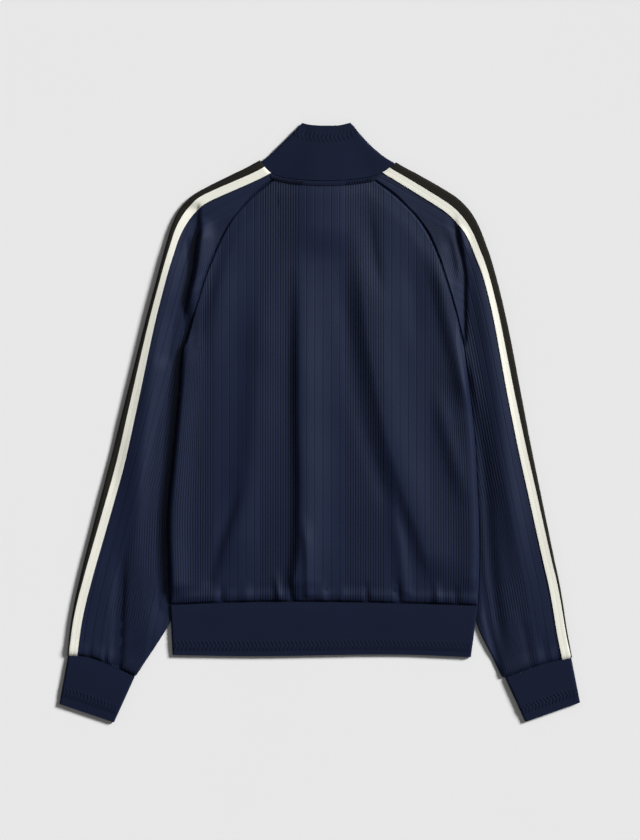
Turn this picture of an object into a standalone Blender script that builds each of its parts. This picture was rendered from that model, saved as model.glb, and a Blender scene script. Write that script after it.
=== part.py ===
"""Track jacket with raglan sleeves, laid flat with its back up.

Sizes are in millimetres here and become metres where a mesh is made. X runs across the
garment, Y from hem to collar, Z up from the surface it lies on.
"""
import math
from collections import namedtuple

import bpy
import numpy as np

MM = 0.001

# ---- driving sizes
KNIT = 1.2            # wall of the body and sleeve cloth
RIB = 2.4             # collar, hem and cuffs are folded double
TAPE_WALL = 0.8
ZIP_TAPE_WALL = 0.6
GAP = 0.3             # between pieces at a seam
LOFT = 6.2            # outer height of the two cloth layers lying on each other
RIB_LOFT = 6.0
NECK_RISE = 4.0       # extra height of the back over the slider
NECK_GAP = 0.4        # each piece stands this far back from the neck seam line
VALLEY_LOFT = 3.8     # height of the sleeve where it dips beside the body
VALLEY_WIDTH = 38.0
TAPE_WIDTH = 11.7
PIPING_WIDTH = 7.5
PIPING_WALL = 1.0
ZIP_HALF = 5.5        # centre front edge from the centre line
ZIP_TAPE_IN = 3.3
ZIP_TAPE_OUT = 14.5
CHAIN_HALF = 3.0
CHAIN_WALL = 2.0
CHAIN_DROP = 0.6      # the chain stands out of the tape's outer face
ZIP_GAP = 0.4
CENTRE = 9.5          # centre line of body and zip
COLLAR_MIDDLE = 370.0
SLIDER_Y = 303.0
SLIDER_LIFT = 3.2     # how far the front is held up round the slider
ROLL_STEPS = 3
BODY_ROLL = 3.7       # how far in from the edge the rolled side reaches
FOLD_ROLL = 3.0
RIB_ROLL = 3.0
ARMPIT_ROW, ROLLED_ROW = 9, 11   # the side is fully rolled from the second of these
NECK_ROWS = 5         # front sections that follow the neck's curve
BESIDE_GAP = 0.5      # between the rolled side and the sleeve tucked beside it
TAPE_GAP = 0.62
TAPE_STAND = TAPE_GAP + TAPE_WALL
FOLD_MIDDLE = (LOFT + TAPE_STAND) / 2   # the sleeve's front lies on the wrapped tape
BLACK_WIDTH = 13.2    # black tape, most of it wrapped to the front
NECK_EASE = 0.5       # extra clearance of the tapes where the neck seam bends the fold
BOX_LENGTH = 9.0
SLIDER_WIDE, SLIDER_LONG, SLIDER_PLATE, SLIDER_OPEN = 9.0, 11.0, 1.0, 1.4
BRIDGE_WIDE, BRIDGE_SPAN, BRIDGE_BAR, BRIDGE_RISE = 2.0, 7.0, 0.9, 2.9
TAB_WIDE, TAB_LONG, TAB_WALL = 7.0, 28.0, 1.2
EYE_WIDE, EYE_LONG = 3.2, 6.5
HAND = {-1: "left", 1: "right"}
Section = namedtuple("Section", "row fold inner roll loft black")

# ---- body: one row for each section, neck to hem
Body = namedtuple("Body", "y left right front_y front_left front_right")
BODY = [
    Body(333.0, -55.5, 67.0, 302.0, -68.0, 90.0),
    Body(319.5, -74.0, 85.0, 291.0, -80.0, 101.0),
    Body(301.5, -95.0, 107.5, 277.0, -95.0, 114.0),
    Body(265.5, -124.0, 140.0, 247.0, -121.0, 138.5),
    Body(243.5, -135.5, 152.5, 230.0, -132.0, 149.0),
    Body(219.5, -145.5, 162.5, 210.0, -142.0, 159.0),
    Body(192.5, -155.5, 171.5, 188.0, -152.0, 168.5),
    Body(165.5, -163.5, 179.5, 163.5, -162.0, 177.5),
    Body(138.5, -171.5, 187.0, 137.5, -171.0, 186.0),
    Body(108.5, -180.0, 193.5, 108.5, -180.0, 193.5),
    Body(79.0, -186.0, 198.0, 79.0, -186.0, 198.0),
    Body(44.0, -189.0, 202.5, 44.0, -189.0, 202.5),
    Body(3.5, -192.5, 207.5, 3.5, -192.5, 207.5),
    Body(-37.0, -196.5, 211.0, -37.0, -196.5, 211.0),
    Body(-77.5, -200.5, 213.0, -77.5, -200.5, 213.0),
    Body(-118.0, -204.0, 215.0, -118.0, -204.0, 215.0),
    Body(-212.5, -202.5, 215.5, -212.5, -202.5, 215.5),
    Body(-245.0, -202.0, 214.0, -245.0, -202.0, 214.0),
]

# ---- sleeves: overarm fold at each section; black is how much black tape shows beside it
Sleeve = namedtuple("Sleeve", "x y black")
SLEEVE_LEFT = [
    Sleeve(-81.0, 353.5, 9.5), Sleeve(-99.0, 343.5, 9.5), Sleeve(-121.0, 333.0, 8.5),
    Sleeve(-161.5, 312.5, 6.2), Sleeve(-178.0, 300.5, 6.4),
    Sleeve(-191.0, 284.5, 6.8), Sleeve(-200.0, 265.5, 6.6), Sleeve(-207.0, 242.5, 6.3),
    Sleeve(-213.5, 219.5, 6.0), Sleeve(-222.0, 187.0, 5.6), Sleeve(-231.5, 152.0, 5.3),
    Sleeve(-243.0, 107.5, 5.4), Sleeve(-255.5, 57.5, 6.0), Sleeve(-267.5, 10.0, 6.8),
    Sleeve(-279.0, -37.0, 7.4), Sleeve(-291.0, -83.0, 7.0),
    Sleeve(-316.5, -180.0, 4.6), Sleeve(-324.5, -212.5, 3.6), Sleeve(-331.0, -241.5, 2.6),
    Sleeve(-336.5, -273.5, 1.8), Sleeve(-341.0, -314.5, 1.2),
]
SLEEVE_RIGHT = [
    Sleeve(104.0, 350.5, 10.0), Sleeve(118.0, 342.5, 10.4), Sleeve(137.0, 332.5, 10.8),
    Sleeve(172.5, 312.0, 11.8), Sleeve(190.0, 300.0, 12.4),
    Sleeve(204.5, 284.5, 12.6), Sleeve(215.5, 265.5, 12.4), Sleeve(224.5, 242.5, 12.0),
    Sleeve(232.5, 219.5, 11.6), Sleeve(241.5, 187.0, 11.2), Sleeve(250.0, 152.0, 10.7),
    Sleeve(259.5, 107.5, 10.2), Sleeve(269.0, 57.5, 9.0), Sleeve(278.0, 10.0, 7.4),
    Sleeve(287.0, -37.0, 5.8), Sleeve(296.5, -83.0, 4.6),
    Sleeve(316.5, -180.0, 2.8), Sleeve(323.5, -212.5, 2.2), Sleeve(329.0, -243.5, 1.8),
    Sleeve(334.5, -280.0, 1.4), Sleeve(341.5, -317.5, 1.0),
]
Point = namedtuple("Point", "x y")
# the inner edge of each sleeve, from beside the hem band to the cuff
TAIL_LEFT = [Point(-201.5, -268.0), Point(-222.0, -303.0), Point(-249.5, -343.0)]
TAIL_RIGHT = [Point(212.5, -272.0), Point(230.0, -310.0), Point(251.0, -345.0)]

# ---- neck seam from fold to fold: over the back, and round the front
NECK_BACK = [Point(-81.0, 353.5), Point(-73.5, 344.0), Point(-65.5, 337.0), Point(-46.5, 330.5),
             Point(-20.0, 327.2), Point(10.0, 326.0), Point(34.5, 327.0), Point(56.0, 329.6),
             Point(71.0, 332.4), Point(84.5, 337.2), Point(94.5, 343.5), Point(104.0, 350.5)]
NECK_FRONT = [Point(-81.0, 353.5), Point(-77.5, 330.0), Point(-68.0, 302.0), Point(-54.0, 272.0),
              Point(-33.0, 250.0), Point(-10.0, 241.0), Point(9.5, 239.0), Point(29.0, 241.0),
              Point(52.0, 250.0), Point(74.0, 271.0), Point(90.0, 302.0), Point(100.5, 330.0),
              Point(104.0, 350.5)]
# ---- collar: where it folds at the seam, its top corners, and the dips of its top edge
COLLAR_FOLD = [Point(-77.0, 350.8), Point(100.2, 349.2)]
COLLAR_TOP_BACK = [Point(-23.5, 404.5), Point(-8.0, 401.5), Point(28.0, 401.5), Point(44.0, 405.0)]
COLLAR_TOP_FRONT = [Point(-23.5, 404.5), Point(-20.5, 372.0), Point(-13.0, 343.0), Point(-2.0, 325.0),
                    Point(9.5, 320.0), Point(22.0, 325.0), Point(33.0, 343.0), Point(40.5, 372.0),
                    Point(44.0, 405.0)]
COLLAR_FRONT_SEAM = [COLLAR_FOLD[0], Point(-75.6, 329.5)] + NECK_FRONT[2:11] + [
    Point(98.6, 329.5), COLLAR_FOLD[1]]

# ---- hem band, and the ends of the cuffs
HEM_TOP = [Point(-202.0, -246.5), Point(-107.5, -243.0), Point(135.5, -245.0), Point(214.0, -247.5)]
HEM_END = [Point(-198.5, -314.0), Point(-107.5, -315.5), Point(135.5, -314.0), Point(204.5, -317.0)]
CUFF_END = {-1: [Point(-351.5, -380.0), Point(-277.5, -405.0)],
            1: [Point(352.0, -378.0), Point(278.0, -404.5)]}

# ---- largest folds of the back: from, to, half width and height
Fold = namedtuple("Fold", "x0 y0 x1 y1 half rise")
FOLDS = [
    Fold(-30.0, 190.0, -31.0, -70.0, 16.0, 1.6),
    Fold(30.0, 250.0, 33.0, -100.0, 26.0, 1.2),
    Fold(52.0, 150.0, 92.0, -190.0, 15.0, -1.1),
    Fold(105.0, 90.0, 132.0, -215.0, 14.0, 1.2),
    Fold(150.0, 120.0, 190.0, -120.0, 15.0, -0.9),
    Fold(-95.0, 180.0, -140.0, -190.0, 20.0, 1.0),
]

NAVY, RIB_NAVY = (0.012, 0.017, 0.052, 1), (0.013, 0.019, 0.055, 1)
CREAM, BLACK = (0.80, 0.79, 0.72, 1), (0.013, 0.012, 0.010, 1)
ZIP_NAVY, METAL = (0.012, 0.015, 0.040, 1), (0.55, 0.55, 0.56, 1)


# ---------------------------------------------------------------- shape helpers
def smooth(t):
    t = np.clip(t, 0.0, 1.0)
    return t * t * (3 - 2 * t)


def run(points, first, last, t):
    """Point at 0..1 along a polyline, between two places on it given by their x."""
    p = np.array(points, float)
    length = np.concatenate([[0], np.cumsum(np.hypot(*np.diff(p, axis=0).T))])
    a, b = np.interp([first, last], p[:, 0], length)
    return np.array([np.interp(a + (b - a) * t, length, p[:, k]) for k in range(2)])


def clear_of_neck(x, y, amount=NECK_GAP):
    """Moves a point straight away from the middle of the collar."""
    away = np.array([x - CENTRE, y - COLLAR_MIDDLE])
    x, y = np.array([x, y]) + away / np.hypot(*away) * amount
    return float(x), float(y)


def fold_height(x, y):
    """Rise of the body's largest folds at a place."""
    total = 0.0
    for f in FOLDS:
        dx, dy = f.x1 - f.x0, f.y1 - f.y0
        length = math.hypot(dx, dy)
        u = ((x - f.x0) * dx + (y - f.y0) * dy) / length ** 2
        side = ((x - f.x0) * dy - (y - f.y0) * dx) / length
        ends = smooth(u / 0.3) * smooth((1 - u) / 0.25)
        total += f.rise * ends * math.exp(-(side / f.half) ** 2)
    return total


def neck_bump(x, y):
    """0 to 1 round the zip slider, which the front passes over and the back lies on."""
    across = 1 - smooth((abs(x - CENTRE) - 10) / 60)
    return float(across * smooth((y - 215) / 50) * smooth((385 - y) / 60))


def top_height(x, y):
    """Outer height of the upper layer, away from its rolled edges."""
    return LOFT + NECK_RISE * neck_bump(x, y) + fold_height(x, y)


def slider_lift(x, y):
    """How far the lower layer is held off the surface."""
    return SLIDER_LIFT * neck_bump(x, y)


def rolled(distance, radius):
    """0 at a rolled edge, 1 past its radius, as a quarter circle."""
    t = np.clip(distance / radius, 0, 1)
    return math.sqrt(1 - (1 - t) ** 2)


def stops(width, roll, roll_both, inner):
    """Distances across a layer: close together round its rolled edge or edges."""
    turn = [roll * (1 - math.cos(math.pi / 2 * k / ROLL_STEPS)) for k in range(ROLL_STEPS)]
    end = width - roll if roll_both else width
    middle = list(np.linspace(roll, end, inner))
    return turn + middle + ([width - t for t in reversed(turn)] if roll_both else [])


def normals(outer, first_roll=0.0, last_roll=0.0, closed=False):
    """Unit normals of a grid. Where an edge column is rolled, its wall stands upright."""
    down = np.gradient(outer, axis=0)
    if closed:
        across = np.roll(outer, -1, axis=1) - np.roll(outer, 1, axis=1)
    else:
        across = np.gradient(outer, axis=1)
        for edge, beside, roll in ((0, 1, first_roll), (-1, -2, last_roll)):
            roll = np.broadcast_to(np.asarray(roll, float), (len(outer),))[:, None]
            step = (outer[:, beside] - outer[:, edge]) * (1 if edge == 0 else -1)
            upright = step * np.array([0.0, 0.0, 1.0])
            across[:, edge] = step * (1 - roll) + upright * roll
    normal = np.cross(down, across)
    return normal / np.linalg.norm(normal, axis=2, keepdims=True)


def wall(name, outer, thickness, colour, first_roll=0.0, last_roll=0.0, closed=False):
    """A closed wall: the outer grid, and the same grid moved in along its normals."""
    outer = np.array(outer, float)
    rows, cols = outer.shape[:2]
    inner = outer - normals(outer, first_roll, last_roll, closed) * thickness
    points = np.concatenate([outer.reshape(-1, 3), inner.reshape(-1, 3)]) * MM
    half = rows * cols
    last_row, last_col = rows - 1, cols - 1

    def at(i, j, side):
        return side * half + i * cols + j % cols

    faces = []
    for j in range(cols if closed else last_col):
        for i in range(last_row):
            faces.append([at(i, j, 0), at(i + 1, j, 0), at(i + 1, j + 1, 0), at(i, j + 1, 0)])
            faces.append([at(i, j, 1), at(i, j + 1, 1), at(i + 1, j + 1, 1), at(i + 1, j, 1)])
        faces.append([at(0, j, 0), at(0, j + 1, 0), at(0, j + 1, 1), at(0, j, 1)])
        faces.append([at(last_row, j, 0), at(last_row, j, 1),
                      at(last_row, j + 1, 1), at(last_row, j + 1, 0)])
    for i in range(0 if closed else last_row):
        faces.append([at(i, 0, 0), at(i, 0, 1), at(i + 1, 0, 1), at(i + 1, 0, 0)])
        faces.append([at(i, last_col, 0), at(i + 1, last_col, 0),
                      at(i + 1, last_col, 1), at(i, last_col, 1)])
    return solid(name, points, faces, colour)


def solid(name, points, faces, colour, roughness=0.8, metallic=0.0):
    mesh = bpy.data.meshes.new(name)
    mesh.from_pydata([tuple(p) for p in points], [], faces)
    mesh.validate()
    mesh.shade_smooth()
    mesh.set_sharp_from_angle(angle=math.radians(40))
    piece = bpy.data.objects.new(name, mesh)
    bpy.context.scene.collection.objects.link(piece)
    material = bpy.data.materials.new(name + "_finish")
    material.use_nodes = True
    finish = material.node_tree.nodes["Principled BSDF"]
    finish.inputs["Base Color"].default_value = colour
    finish.inputs["Roughness"].default_value = roughness
    finish.inputs["Metallic"].default_value = metallic
    mesh.materials.append(material)
    return piece


def block(name, x, y, z, colour, metallic=0.0):
    """A plain box between pairs of limits."""
    points = [(a * MM, b * MM, c * MM) for a in x for b in y for c in z]
    faces = [[0, 1, 3, 2], [4, 6, 7, 5], [0, 4, 5, 1], [2, 3, 7, 6], [0, 2, 6, 4], [1, 5, 7, 3]]
    return solid(name, points, faces, colour, 0.4, metallic)


# ---------------------------------------------------------------- body
def side_roll(row):
    """0 where the edge is a raglan seam, 1 where the side is fully rolled."""
    return float(smooth((row - ARMPIT_ROW) / (ROLLED_ROW - ARMPIT_ROW)))


def height_on(points, x):
    """The y of a run of points at x."""
    return float(np.interp(x, [p.x for p in points], [p.y for p in points]))


def back_panel():
    grid, rolls = [], []
    for i, row in enumerate(BODY):
        roll = side_roll(i)
        left = row.left + GAP / 2
        width = row.right - GAP / 2 - left
        line = []
        for d in stops(width, BODY_ROLL, True, 13):
            x, y = left + d, row.y
            if i == 0:
                x, y = clear_of_neck(x, height_on(NECK_BACK, x))
            if i == len(BODY) - 1:
                y = height_on(HEM_TOP, x) + GAP / 2
            full = top_height(x, y)
            low = LOFT / 2 + GAP / 2
            line.append((x, y, full - roll * (full - low) * (1 - rolled(min(d, width - d), BODY_ROLL))))
        grid.append(line)
        rolls.append(roll)
    return wall("back_panel", grid, KNIT, NAVY, rolls, rolls)


def front_panel(side):
    """side is -1 for the left of the plan and 1 for the right."""
    zip_x = CENTRE + side * ZIP_HALF
    first, last = BODY[0], BODY[-1]
    neck_outer = np.array([first.front_left if side < 0 else first.front_right, 0.0])
    neck_outer[1] = height_on(NECK_FRONT, neck_outer[0])
    neck_inner = np.array([zip_x, height_on(NECK_FRONT, zip_x)])
    grid, rolls = [], []
    for i, row in enumerate(BODY):
        outer = np.array([row.front_left if side < 0 else row.front_right, row.front_y])
        if i == 0:
            outer = neck_outer
        drop = (first.front_y - row.front_y) / (first.front_y - last.front_y)
        inner = np.array([zip_x, neck_inner[1] + (last.y - neck_inner[1]) * drop])
        follow = float(smooth(1 - i / NECK_ROWS))
        roll = side_roll(i)
        width = abs(zip_x - outer[0])
        line = []
        for d in stops(width, BODY_ROLL, False, 6):
            t = d / width
            curve = run(NECK_FRONT, neck_outer[0], zip_x, t)
            bow = curve - (neck_outer + (neck_inner - neck_outer) * t)
            x, y = outer + (inner - outer) * t + bow * follow
            x -= side * GAP / 2 * (1 - t)
            if i == 0:
                x, y = clear_of_neck(x, y)
            if i == len(BODY) - 1:
                y = height_on(HEM_TOP, x) + GAP / 2
            low = LOFT / 2 - GAP / 2
            line.append((x, y, slider_lift(x, y) + roll * low * (1 - rolled(d, BODY_ROLL))))
        grid.append(line if side > 0 else line[::-1])
        rolls.append(roll)
    ends = (rolls, 0.0) if side > 0 else (0.0, rolls)
    return wall("front_left" if side < 0 else "front_right", grid, KNIT, NAVY, *ends)


# ---------------------------------------------------------------- sleeves
def valley(row):
    """How far the sleeve dips at its inner edge: fully beside the body, not at the cuff."""
    return float(smooth((row - ARMPIT_ROW) / 2) * (1 - smooth((row - len(BODY) + 0.5) / 2.5)))


def sleeve_sections(side, front=False):
    """Overarm fold, inner edge, edge roll and inner loft of the sleeve at each section."""
    table = SLEEVE_LEFT if side < 0 else SLEEVE_RIGHT
    tail = TAIL_LEFT if side < 0 else TAIL_RIGHT
    sections = []
    for i, cut in enumerate(table):
        fold = np.array([cut.x - side * TAPE_STAND, cut.y])
        roll = side_roll(i)
        if i < len(BODY):
            row = BODY[i]
            x, y = (row.left, row.right)[side > 0], row.y
            if front:
                x, y = (row.front_left, row.front_right)[side > 0], row.front_y
            if i == 0:
                y = height_on(NECK_FRONT if front else NECK_BACK, x)
            inner = np.array([x + side * (GAP / 2 + BESIDE_GAP * roll), y])
        else:
            inner = np.array(tail[i - len(BODY)])
        loft = LOFT + (VALLEY_LOFT - LOFT) * valley(i)
        sections.append(Section(i, fold, inner, roll, loft, cut.black))
    return sections


def sleeve_point(section, d, upper):
    """Outer point of the sleeve at a distance from its overarm fold, on one layer."""
    span = section.inner - section.fold
    width = float(np.hypot(*span))
    x, y = section.fold + span * d / width
    if section.row == 0:
        seam = NECK_BACK if upper else NECK_FRONT
        end = seam[0] if section.fold[0] < CENTRE else seam[-1]
        x, y = run(seam, end.x, section.inner[0], d / width)
        x, y = clear_of_neck(x + (section.fold[0] - end.x) * (1 - d / width), y)
    left = width - d
    small = section.loft / 2
    over, under = rolled(d, FOLD_ROLL), rolled(left, small)
    if not upper:
        wrapped = FOLD_ROLL * (1 - math.pi / 2) + BLACK_WIDTH - shown(section.black)
        lift = TAPE_STAND * float(1 - smooth((d - wrapped - 1.0) / 8))
        z = lift + (FOLD_MIDDLE - GAP / 2 - lift) * (1 - over)
        return x, y, z + section.roll * (small - GAP / 2) * (1 - under)
    full = top_height(x, y)
    dip = valley(section.row) * (1 - smooth(left / VALLEY_WIDTH))
    full -= dip * (full - section.loft)
    z = full - (full - FOLD_MIDDLE - GAP / 2) * (1 - over)
    return x, y, z - section.roll * (full - small - GAP / 2) * (1 - under)


def sleeve_stops(section, between):
    width = float(np.hypot(*(section.inner - section.fold)))
    small = section.loft / 2
    turn = [FOLD_ROLL * (1 - math.cos(math.pi / 2 * k / ROLL_STEPS)) for k in range(ROLL_STEPS)]
    tuck = [width - small * (1 - math.cos(math.pi / 2 * k / 2)) for k in (1, 0)]
    return turn + list(np.linspace(FOLD_ROLL, width - small, between)) + tuck


def sleeve_panel(side, upper):
    sections = sleeve_sections(side, front=not upper)
    grid = []
    for section in sections:
        columns = sleeve_stops(section, 5 if upper else 3)
        grid.append([sleeve_point(section, d, upper) for d in columns])
    ends = (1.0, [s.roll for s in sections])
    if (side > 0) == upper:
        grid, ends = [row[::-1] for row in grid], ends[::-1]
    name = f"sleeve_{'back' if upper else 'front'}_{HAND[side]}"
    return wall(name, grid, KNIT, NAVY, *ends)


def fold_arc(section, front_section, a):
    """Outer point at arc length a round the overarm fold, positive on the upper layer."""
    quarter = math.pi / 2 * FOLD_ROLL
    turn = min(abs(a), quarter) / FOLD_ROLL
    d = FOLD_ROLL * (1 - math.cos(turn)) + max(abs(a) - quarter, 0)
    if a >= 0:
        return sleeve_point(section, d, True)
    return sleeve_point(front_section, d, False)


def overarm_tape(side, name, start, end, columns, colour):
    """A tape lying on the sleeve between two arc lengths, made from the sleeve's points."""
    table = SLEEVE_LEFT if side < 0 else SLEEVE_RIGHT
    grid = []
    for cut, back, front in zip(table, sleeve_sections(side), sleeve_sections(side, True)):
        first, last = start(cut.black), end(cut.black)
        grid.append([fold_arc(back, front, first + (last - first) * t) for t in columns])
    grid = np.array(grid)
    if side > 0:
        grid = grid[:, ::-1]
    stand = np.full((len(grid), 1, 1), TAPE_STAND)
    stand[0] += NECK_EASE
    return wall(name, grid + normals(grid) * stand, TAPE_WALL, colour)


def shown(black):
    """Arc length on the upper layer that shows a given width of black in plan."""
    if black < FOLD_ROLL:
        return FOLD_ROLL * math.acos(1 - black / FOLD_ROLL)
    return math.pi / 2 * FOLD_ROLL + black - FOLD_ROLL


def tapes(side):
    overarm_tape(side, f"tape_cream_{HAND[side]}", lambda black: shown(black) + GAP,
                 lambda black: shown(black) + TAPE_WIDTH, (0, 0.15, 0.5, 1), CREAM)
    overarm_tape(side, f"tape_black_{HAND[side]}", lambda black: shown(black) - BLACK_WIDTH,
                 lambda black: shown(black), np.linspace(0, 1, 9), BLACK)


# ---------------------------------------------------------------- collar, hem and cuffs
def layer(points, width_stops, width, heights):
    """Points across one layer of a band; heights gives z at a plan place and a distance."""
    first, last = points[0].x, points[-1].x
    line = []
    for d in width_stops:
        x, y = run(points, first, last, d / width)
        line.append((x, y, heights(x, y, min(d, width - d))))
    return line


def band_loop(upper, lower, loft, rise, lift, between, gap_half=None):
    """One line of a band, round both folds. It opens at the zip where gap_half is given."""
    def top(x, y, d):
        return loft / 2 + (loft / 2 + rise * neck_bump(x, y)) * rolled(d, RIB_ROLL)

    def under(x, y, d):
        return loft / 2 * (1 - rolled(d, RIB_ROLL)) + lift * neck_bump(x, y)

    def length(points):
        return float(np.sum(np.hypot(*np.diff(np.array(points), axis=0).T)))

    above = length(upper)
    over = layer(upper, stops(above, RIB_ROLL, True, between), above, top)
    below = length(lower)
    if gap_half is None:
        back = layer(lower, stops(below, RIB_ROLL, True, between), below, under)
        return over + back[-2:0:-1]
    edges = [length([p for p in lower if p.x < x] + [Point(x, height_on(lower, x))])
             for x in (CENTRE - gap_half, CENTRE + gap_half)]
    left = stops(edges[0], RIB_ROLL, False, between // 2 + 1)
    right = [below - d for d in stops(below - edges[1], RIB_ROLL, False, between // 2 + 1)]
    start = layer(lower, left, below, under)[:0:-1]
    finish = layer(lower, right, below, under)[1:]
    return start + over + finish


def band(name, near, far, rows, colour):
    """A doubled rib band between two loops of points."""
    near, far = np.array(near), np.array(far)
    grid = [near + (far - near) * k / rows for k in range(rows + 1)]
    closed = name.startswith("cuff")
    return wall(name, grid, RIB, colour, closed=closed)


def shifted(points, dx, dy):
    return [Point(p.x + dx, p.y + dy) for p in points]


def collar():
    seam = [COLLAR_FOLD[0]] + [p for p in NECK_BACK if -76 < p.x < 100] + [COLLAR_FOLD[1]]
    seam, front_seam = ([Point(*clear_of_neck(p.x, p.y, -NECK_GAP)) for p in points]
                        for points in (seam, COLLAR_FRONT_SEAM))
    near = band_loop(seam, front_seam, RIB_LOFT, NECK_RISE, SLIDER_LIFT, 11, ZIP_HALF)
    far = band_loop(COLLAR_TOP_BACK, COLLAR_TOP_FRONT, RIB_LOFT, NECK_RISE, SLIDER_LIFT, 11, ZIP_HALF)
    band("collar", far, near, 4, RIB_NAVY)


def hem_band():
    top = shifted(HEM_TOP[:2] + [Point(CENTRE, -244.2)] + HEM_TOP[2:], 0, -GAP / 2)
    end = HEM_END[:2] + [Point(CENTRE, -314.5)] + HEM_END[2:]
    band("hem_band", band_loop(top, top, RIB_LOFT, 0, 0, 11, ZIP_HALF),
         band_loop(end, end, RIB_LOFT, 0, 0, 11, ZIP_HALF), 2, RIB_NAVY)


def cuff(side):
    section = sleeve_sections(side)[-1]
    ends = [Point(*section.fold), Point(*section.inner)]
    far = CUFF_END[side]
    down = np.array(far[0]) - np.array(ends[0])
    down *= GAP / np.hypot(*down)
    near = shifted(ends, *down)
    if side > 0:
        near, far = near[::-1], far[::-1]
    band(f"cuff_{HAND[side]}", band_loop(near, near, RIB_LOFT, 0, 0, 8),
         band_loop(far, far, RIB_LOFT, 0, 0, 8), 3, RIB_NAVY)


def neck_piping():
    """Binding over the back neck seam, lying on the back panel's top edge."""
    first, last = BODY[0].left + 3, BODY[0].right - 3
    grid = []
    for across in (0.0, 0.5, 1.0):
        line = []
        for x in np.linspace(first, last, 14):
            y = height_on(NECK_BACK, x) - 2 * NECK_GAP - PIPING_WIDTH * across
            line.append((x, y, top_height(x, y) + GAP + PIPING_WALL))
        grid.append(line)
    wall("neck_piping", grid, PIPING_WALL, RIB_NAVY)


# ---------------------------------------------------------------- zip
def zip_height(y):
    """Under face of the zip's tape: on top of the thin front, or of the doubled bands."""
    bands = smooth((y - 215) / 20) + smooth((-225 - y) / 18)
    return ZIP_GAP + KNIT + (RIB - KNIT) * bands + slider_lift(CENTRE, y)


def zip_strip(name, x_first, x_last, y_first, y_last, low, high, colour):
    """A flat strip of the zip along the centre line, from its under face up."""
    turns = (300, 282, 265, 255, 245, 235, 225, 215, 205, 0, -215, -225, -234, -243)
    grid = []
    for y in [y_first] + [y for y in turns if y_last < y < y_first - 1] + [y_last]:
        z = zip_height(y)
        grid.append([(x_first, y, z + high), (x_last, y, z + high)])
    wall(name, grid, high - low, colour)


def chain_middle(y):
    return zip_height(y) + ZIP_TAPE_WALL / 2 - CHAIN_DROP


def zip_parts():
    bottom = height_on(HEM_END, CENTRE) + 0.5
    top = 317.5
    for side, hand in HAND.items():
        edges = sorted((CENTRE + side * ZIP_TAPE_IN, CENTRE + side * ZIP_TAPE_OUT))
        zip_strip(f"zip_tape_{hand}", edges[0], edges[1], top, bottom, 0, ZIP_TAPE_WALL, ZIP_NAVY)
    mid = ZIP_TAPE_WALL / 2 - CHAIN_DROP
    chain_top = SLIDER_Y - 0.5
    zip_strip("zip_chain", CENTRE - CHAIN_HALF, CENTRE + CHAIN_HALF, chain_top,
              bottom + BOX_LENGTH + GAP, mid - CHAIN_WALL / 2, mid + CHAIN_WALL / 2, ZIP_NAVY)
    z = chain_middle(bottom)
    block("zip_box", (CENTRE - CHAIN_HALF, CENTRE + CHAIN_HALF), (bottom, bottom + BOX_LENGTH),
          (z - 1.2, z + 1.0), METAL, 1.0)
    slider()
    pull_tab()


def slider():
    """Two plates joined by a post between the rows, with a bridge that holds the pull tab."""
    z = chain_middle(SLIDER_Y)
    half_x, half_y = SLIDER_WIDE / 2, SLIDER_LONG / 2
    face = z - SLIDER_OPEN - SLIDER_PLATE
    leg = BRIDGE_SPAN / 2
    parts = [
        ((-half_x, half_x), (-half_y, half_y), (face, face + SLIDER_PLATE)),
        ((-half_x, half_x), (-half_y, half_y), (z + SLIDER_OPEN, z + SLIDER_OPEN + SLIDER_PLATE)),
        ((-1.2, 1.2), (0.4, half_y - 0.8), (z - SLIDER_OPEN - 0.5, z + SLIDER_OPEN + 0.5)),
        ((-BRIDGE_WIDE / 2, BRIDGE_WIDE / 2), (-leg, -leg + BRIDGE_BAR), (face - BRIDGE_RISE, face + 0.5)),
        ((-BRIDGE_WIDE / 2, BRIDGE_WIDE / 2), (leg - BRIDGE_BAR, leg), (face - BRIDGE_RISE, face + 0.5)),
        ((-BRIDGE_WIDE / 2, BRIDGE_WIDE / 2), (-leg, leg),
         (face - BRIDGE_RISE, face - BRIDGE_RISE + BRIDGE_BAR)),
    ]
    pieces = []
    for k, (x, y, zs) in enumerate(parts):
        name = "zip_slider" if k == 0 else f"slider_part_{k}"
        across = (CENTRE + x[0], CENTRE + x[1])
        lengthwise = (SLIDER_Y + y[0], SLIDER_Y + y[1])
        pieces.append(block(name, across, lengthwise, zs, METAL, 1.0))
    for part in pieces[1:]:
        part.hide_render = True
        part.display_type = "WIRE"
        join = pieces[0].modifiers.new("join", "BOOLEAN")
        join.operation = "UNION"
        join.solver = "EXACT"
        join.object = part


def pull_tab():
    """A flat tab with an eye, turning on its cross bar inside the slider's bridge."""
    face = chain_middle(SLIDER_Y) - SLIDER_OPEN - SLIDER_PLATE
    axis_z = face - (BRIDGE_RISE - BRIDGE_BAR) / 2
    half, eye, bar, thick = TAB_WIDE / 2, EYE_WIDE / 2, 0.7, TAB_WALL / 2
    ring = []
    for w, top, low in ((half, bar, -TAB_LONG), (eye, -bar, -EYE_LONG)):
        ring.append([(-w, top), (w, top), (w, low), (-w, low)])
    points = [(x * MM, y * MM, h * MM) for h in (thick, -thick) for loop in ring for x, y in loop]
    faces = []
    for k in range(4):
        n = (k + 1) % 4
        faces.append([k, 4 + k, 4 + n, n])
        faces.append([8 + k, 8 + n, 12 + n, 12 + k])
        faces.append([k, n, 8 + n, 8 + k])
        faces.append([4 + k, 12 + k, 12 + n, 4 + n])
    tab = solid("pull_tab", points, faces, METAL, 0.35, 1.0)
    tab.location = (CENTRE * MM, SLIDER_Y * MM, axis_z * MM)
    tab.rotation_euler = (math.asin((axis_z - TAB_WALL / 2 - 0.35) / TAB_LONG), 0, 0)


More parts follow.
